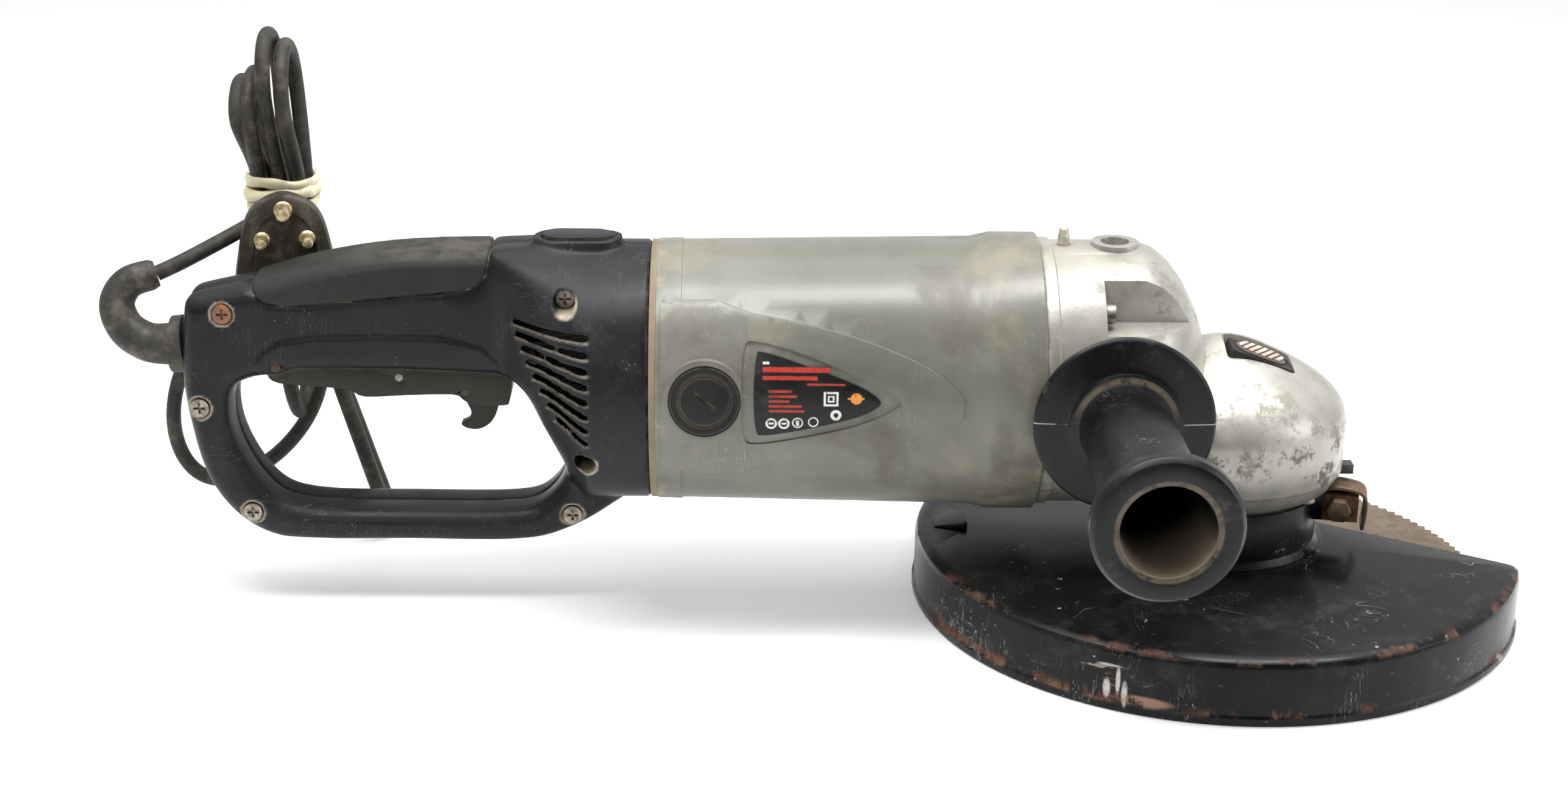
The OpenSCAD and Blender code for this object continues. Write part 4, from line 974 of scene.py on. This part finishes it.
def make_shell(node, material):
    mesh = remeshed(node, node + "_smooth", 1.0, 14, shell_strength)
    relax(mesh, 120, crease_strength)
    points = local(coordinates(mesh))
    outward = normals(mesh)
    side = np.abs(outward[:, 1]) * (np.abs(points[:, 1]) > 12)
    under = np.array(LEDGE + [(-296, 90), (-400, 90)])
    depth = line_distance(points, LEDGE)
    within = inside(points, [tuple(p) for p in under])
    signed = np.where(within, depth, -depth)
    raised = step(signed, -0.7, 0.7) * (points[:, 2] > 94) * (points[:, 0] < -297)
    points += outward * (0.8 * raised * step(side, 0.4, 0.8))[:, None]
    move_to(mesh, points * MM + np.array(SPINDLE))
    grime = np.zeros(len(points))
    for x, z in DEEP_SCREWS:
        distance = np.hypot(points[:, 0] - x, points[:, 2] - z)
        lower_right = step((points[:, 0] - x) - (points[:, 2] - z), -1.0, 4.0)
        grime = np.maximum(grime, lower_right * (1 - step(np.abs(distance - 4.8), 0.3, 1.0)))
    for x, z in SCREWS:
        distance = np.hypot(points[:, 0] - x, points[:, 2] - z)
        grime = np.maximum(grime, 0.8 * (1 - step(np.abs(distance - 4.7), 0.3, 1.0)))
    for line in vent_lines():
        lower = [(x, z - 1.4) for x, z in line]
        grime = np.maximum(grime, 0.42 * (1 - step(line_distance(points, lower), 0.1, 0.7)))
    grime = np.maximum(grime, 1 - step(line_distance(points, PAD_EDGE[5:]), 0.3, 1.0))
    grime = np.maximum(grime, 0.55 * (1 - step(line_distance(points, PAD_EDGE[:4]), 0.3, 0.9)))
    paint(mesh, "grime", grime)
    shell = new_piece(node + "_smooth", mesh, "rear_handle", material, 50)
    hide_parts(node)


def make_grip(material):
    mesh = remeshed("grip_pad", "grip_pad_smooth", 0.8, 8)
    points = coordinates(mesh)
    points += normals(mesh) * 0.35 * MM
    move_to(mesh, points)
    pad = new_piece("grip_pad_smooth", mesh, "rear_handle", material, 50)
    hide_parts("grip_pad")


# ---- label, disc and clamp ---------------------------------------------------------------

def label_point(x, height, lift, side):
    """A point on the motor housing's side; side is 0 in front and 1 behind."""
    radius = 53.5 + (x + 236) * 2.5 / 124 + lift
    y = -math.sqrt(radius * radius - height * height)
    a = math.pi * side - BRUSH_ROLL
    return (x, y * math.cos(a) - height * math.sin(a),
            AXIS_Z + y * math.sin(a) + height * math.cos(a))


def add_patch(points, faces, outline, side, flip):
    base = len(points)
    points += [label_point(x, h, 1.0, side) for x, h in outline]
    face = tuple(range(base, base + len(outline)))
    faces.append(face[::-1] if flip else face)


def bar(x0, x1, h, tall):
    return [(x0, h), (x1, h), (x1, h + tall), (x0, h + tall)]


def ring(x, h, r_out, r_in, parts=16):
    """Small quads that make a ring."""
    made = []
    for k in range(parts):
        a, b = 2 * math.pi * k / parts, 2 * math.pi * (k + 1) / parts
        made.append([(x + r * math.cos(t), h + r * math.sin(t))
                     for r, t in ((r_in, a), (r_out, a), (r_out, b), (r_in, b))])
    return made


def square_frame(x, h, half, width):
    made = []
    for x0, x1, low, tall in ((x - half, x + half, h + half - width, width),
                              (x - half, x + half, h - half, width),
                              (x - half, x - half + width, h - half + width, 2 * (half - width)),
                              (x + half - width, x + half, h - half + width, 2 * (half - width))):
        made.append(bar(x0, x1, low, tall))
    return made


def make_print(red, white, amber):
    red_marks = [bar(-193.5, -167, 11.6, 1.9), bar(-193.5, -172, 8.6, 1.5),
                 bar(-176, -161, 6.6, 0.7)]
    red_marks += [bar(-191, -191 + width, h, 0.9) for width, h in
                  ((9, 3.6), (11, 1.6), (8, -0.4), (13, -2.4), (14, -4.4))]
    white_marks = square_frame(-166.5, 1.2, 2.9, 0.8) + square_frame(-166.5, 1.2, 1.3, 0.6)
    for x, h, r_out, r_in in ((-190, -9.2, 2.3, 1.5), (-185, -9.2, 2.3, 1.5),
                              (-179.6, -8.8, 2.2, 1.7), (-173.4, -8.4, 2.1, 1.6),
                              (-164.5, -5.4, 2.2, 1.0)):
        white_marks += ring(x, h, r_out, r_in)
    white_marks += [bar(-191, -189, -9.6, 0.8), bar(-186, -184, -9.6, 0.8),
                    bar(-180.2, -179, -10, 2.2), bar(-193.5, -191, 14.6, 1.0)]
    amber_marks = ring(-156.5, 1.4, 2.3, 0.0) + [bar(-160, -153.4, 1.1, 0.7)]
    for name, marks, material in (("label_red", red_marks, red),
                                  ("label_white", white_marks, white),
                                  ("label_amber", amber_marks, amber)):
        points, faces = [], []
        for side in (0, 1):
            for outline in marks:
                add_patch(points, faces, outline, side, flip=False)
        new_piece(name, mesh_from(name, points, faces), "motor_body", material)


def make_disc(material):
    """The disc, with a finely notched rim."""
    teeth, steps = 150, 4
    n = teeth * steps
    rim = [0.0, 0.0, 1.5, 1.5]
    profile = [(11.1, 7.0), (32, 7.0), (34, 7.3), (104, 7.3), (106, 7.0), (None, 7.0),
               (None, 10.0), (106, 10.0), (104, 9.7), (34, 9.7), (32, 10.0), (11.1, 10.0)]
    points = []
    for k in range(n):
        a = 2 * math.pi * k / n
        for r, z in profile:
            radius = 115 - rim[k % steps] if r is None else r
            points.append((radius * math.cos(a), radius * math.sin(a), z))
    m = len(profile)
    faces = []
    for k in range(n):
        j = (k + 1) % n
        for i in range(m):
            p = (i + 1) % m
            faces.append((k * m + i, k * m + p, j * m + p, j * m + i)[::-1])
    disc = new_piece("disc_notched", mesh_from("disc_notched", points, faces),
                     "spindle", material, 30)
    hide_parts("cutting_disc")


LUG_TURN = math.radians(-12)


def lug_point(x, y, z):
    return (x * math.cos(LUG_TURN) - y * math.sin(LUG_TURN),
            x * math.sin(LUG_TURN) + y * math.cos(LUG_TURN), z)


def make_strap(material):
    """A bent strap over the guard's clamp lugs."""
    line = smooth_line([(43.2, 46.5), (44.5, 51.5), (49, 53.2), (56, 52.6), (60.3, 51), (61.4, 47),
                        (61.2, 42), (60.6, 36)], 4)
    tangent = np.gradient(line, axis=0)
    tangent /= np.linalg.norm(tangent, axis=1)[:, None]
    across = np.stack([-tangent[:, 1], tangent[:, 0]], axis=1)
    rings = []
    for p, q in zip(line, across):
        low, high = p - 0.2 * q, p + 1.5 * q
        rings.append([lug_point(low[0], -6.4, low[1]), lug_point(low[0], 6.4, low[1]),
                      lug_point(high[0], 6.4, high[1]), lug_point(high[0], -6.4, high[1])])
    points, faces = ring_stack(rings)
    strap = new_piece("guard_clamp_strap", mesh_from("guard_clamp_strap", points, faces),
                      "guard", material, 40)
    bevel = strap.modifiers.new("bevel", "BEVEL")
    bevel.width = 0.5 * MM
    bevel.segments = 2
    bevel.limit_method = "ANGLE"


def main():
    cord_material = cord_rubber("cord_rubber", (0.017, 0.0155, 0.0135), (0.036, 0.033, 0.028), 0.3)
    add_camera()
    cord, cord_length = make_cord(cord_material)
    plug_rubber = cord_rubber("plug_rubber", (0.020, 0.017, 0.013), (0.042, 0.036, 0.027), 0.35)
    plug_metal = steel("pin_metal", (0.42, 0.34, 0.20), 0.35, 0.25, 300)
    plug, pins = make_plug(plug_rubber, plug_metal)
    tie = make_tie(tie_rubber())
    sleeve = make_sleeve(cord_rubber("sleeve_rubber", (0.024, 0.023, 0.020), (0.048, 0.045, 0.039), 0.4))
    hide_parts("cord_sleeve")

    add_lights()
    floor_mesh = bpy.data.meshes.new("floor")
    floor_mesh.from_pydata([(-4, -3, 0), (4, -3, 0), (4, 6, 0), (-4, 6, 0)], [], [(0, 1, 2, 3)])
    floor = bpy.data.objects.new("floor", floor_mesh)
    bpy.context.scene.collection.objects.link(floor)
    floor_mesh.materials.append(pale_floor())

    materials = {
        "shell": shell_plastic(),
        "grip": soft_grip(),
        "housing": housing_plastic(),
        "alloy": cast_alloy(),
        "paint": guard_paint(),
        "disc": disc_steel(),
        "black": worn_plastic("black_plastic", (0.008, 0.0083, 0.009), (0.017, 0.017, 0.0175),
                              DARK_DUST, 0.4),
        "button": worn_plastic("button_plastic", (0.010, 0.011, 0.014), (0.022, 0.023, 0.027),
                               (0.10, 0.085, 0.06), 0.38),
        "ring": worn_plastic("dusty_ring", (0.16, 0.13, 0.09), (0.30, 0.24, 0.16), DUST, 0.6),
        "trigger": worn_plastic("trigger_plastic", (0.017, 0.017, 0.013), (0.034, 0.032, 0.025),
                                DARK_DUST, 0.42),
        "side": side_plastic(),
        "screw": steel("dirty_screw", (0.30, 0.27, 0.23), 0.35, 0.35, 260),
        "rusty_screw": handle_screw_metal(),
        "dark_pin": steel("dark_pin", (0.055, 0.045, 0.035), 0.45, 0.5, 260),
        "steel": steel("ground_steel", (0.42, 0.42, 0.43), 0.25, 0.05),
        "stub": steel("stub_metal", (0.46, 0.42, 0.35), 0.5, 0.05, 260),
        "dull": steel("dull_steel", (0.26, 0.24, 0.21), 0.4, 0.3),
        "rust": steel("rusty_strap", (0.16, 0.12, 0.085), 0.5, 0.55, 130),
        "gear": steel("gear_steel", (0.30, 0.30, 0.31), 0.3, 0.05),
        "spring": steel("spring_steel", (0.40, 0.40, 0.40), 0.3, 0.05),
        "brass": steel("tarnished_brass", (0.45, 0.30, 0.11), 0.35, 0.1),
        "copper": windings("coil_copper", (0.42, 0.16, 0.07), 9000.0),
        "commutator": steel("commutator_copper", (0.48, 0.22, 0.11), 0.25, 0.05),
        "laminations": windings("laminations", (0.20, 0.20, 0.21), 12000.0),
        "fan": worn_plastic("fan_plastic", (0.52, 0.50, 0.42), (0.62, 0.59, 0.5), DUST, 0.5),
        "label": worn_plastic("label_film", (0.008, 0.008, 0.009), (0.014, 0.014, 0.015),
                              DARK_DUST, 0.28),
        "lock": lock_plastic(),
        "carbon": worn_plastic("pressed_carbon", (0.02, 0.02, 0.02), (0.035, 0.035, 0.036),
                               DARK_DUST, 0.55),
    }

    kept = {
        "motor_housing": ("housing", 0.4), "swivel_ring": ("ring", 0.2), "brush_caps": ("black", 0.25),
        "brush_holders": ("brass", 0.2), "carbon_brushes": ("carbon", 0.2), "brush_springs": ("spring", 0),
        "label_plates": ("label", 0.1), "stator_core": ("laminations", 0.3), "field_coils": ("copper", 0.8),
        "air_baffle": ("black", 0.2), "rear_bearing": ("steel", 0.2), "front_bearing": ("steel", 0.2),
        "gear_housing": ("alloy", 1.0), "breather_stub": ("stub", 0.3), "housing_screws": ("screw", 0.3),
        "bearing_cover": ("alloy", 0.4), "cover_screws": ("screw", 0.2),
        "spindle_lower_bearing": ("steel", 0.2), "spindle_upper_bushing": ("brass", 0.2),
        "side_handle": ("side", 0.5), "side_handle_stud": ("dull", 0.3),
        "spindle_lock_button": ("lock", 0.4), "spindle_lock_spring": ("spring", 0),
        "armature_shaft": ("steel", 0.3), "armature_core": ("laminations", 0.2),
        "armature_windings": ("copper", 0.5), "commutator": ("commutator", 0.1),
        "cooling_fan": ("fan", 0.2), "bevel_pinion": ("gear", 0.15), "pinion_nut": ("gear", 0.2),
        "spindle": ("steel", 0.3), "spindle_key": ("gear", 0.2), "crown_gear": ("gear", 0.15),
        "inner_flange": ("dull", 0.3), "flange_nut": ("dull", 0.3),
        "guard": ("paint", 0.5), "guard_clamp_bolt": ("rust", 0.4),
        "handle_screws": ("rusty_screw", 0.3), "switch_body": ("black", 0.4),
        "cord_clamp": ("black", 0.4), "trigger_pivot_pin": ("dark_pin", 0.2),
        "trigger_spring": ("spring", 0),
        "trigger_paddle": ("trigger", 0.6), "trigger_link_pin": ("rusty_screw", 0.3),
        "lock_off_pin": ("dark_pin", 0.3), "lock_off_lever": ("trigger", 0.5),
        "release_button": ("button", 0.8), "release_spring": ("spring", 0),
    }
    for node, (key, width) in kept.items():
        softened(node, materials[key], width)
    for node in ("rear_handle_right", "rear_handle_left"):
        make_shell(node, materials["shell"])
    make_grip(materials["grip"])
    make_disc(materials["disc"])
    make_strap(materials["rust"])
    make_print(print_ink("red_print", (0.45, 0.035, 0.025)),
               print_ink("white_print", (0.75, 0.75, 0.72)),
               print_ink("amber_print", (0.75, 0.28, 0.05)))


main()
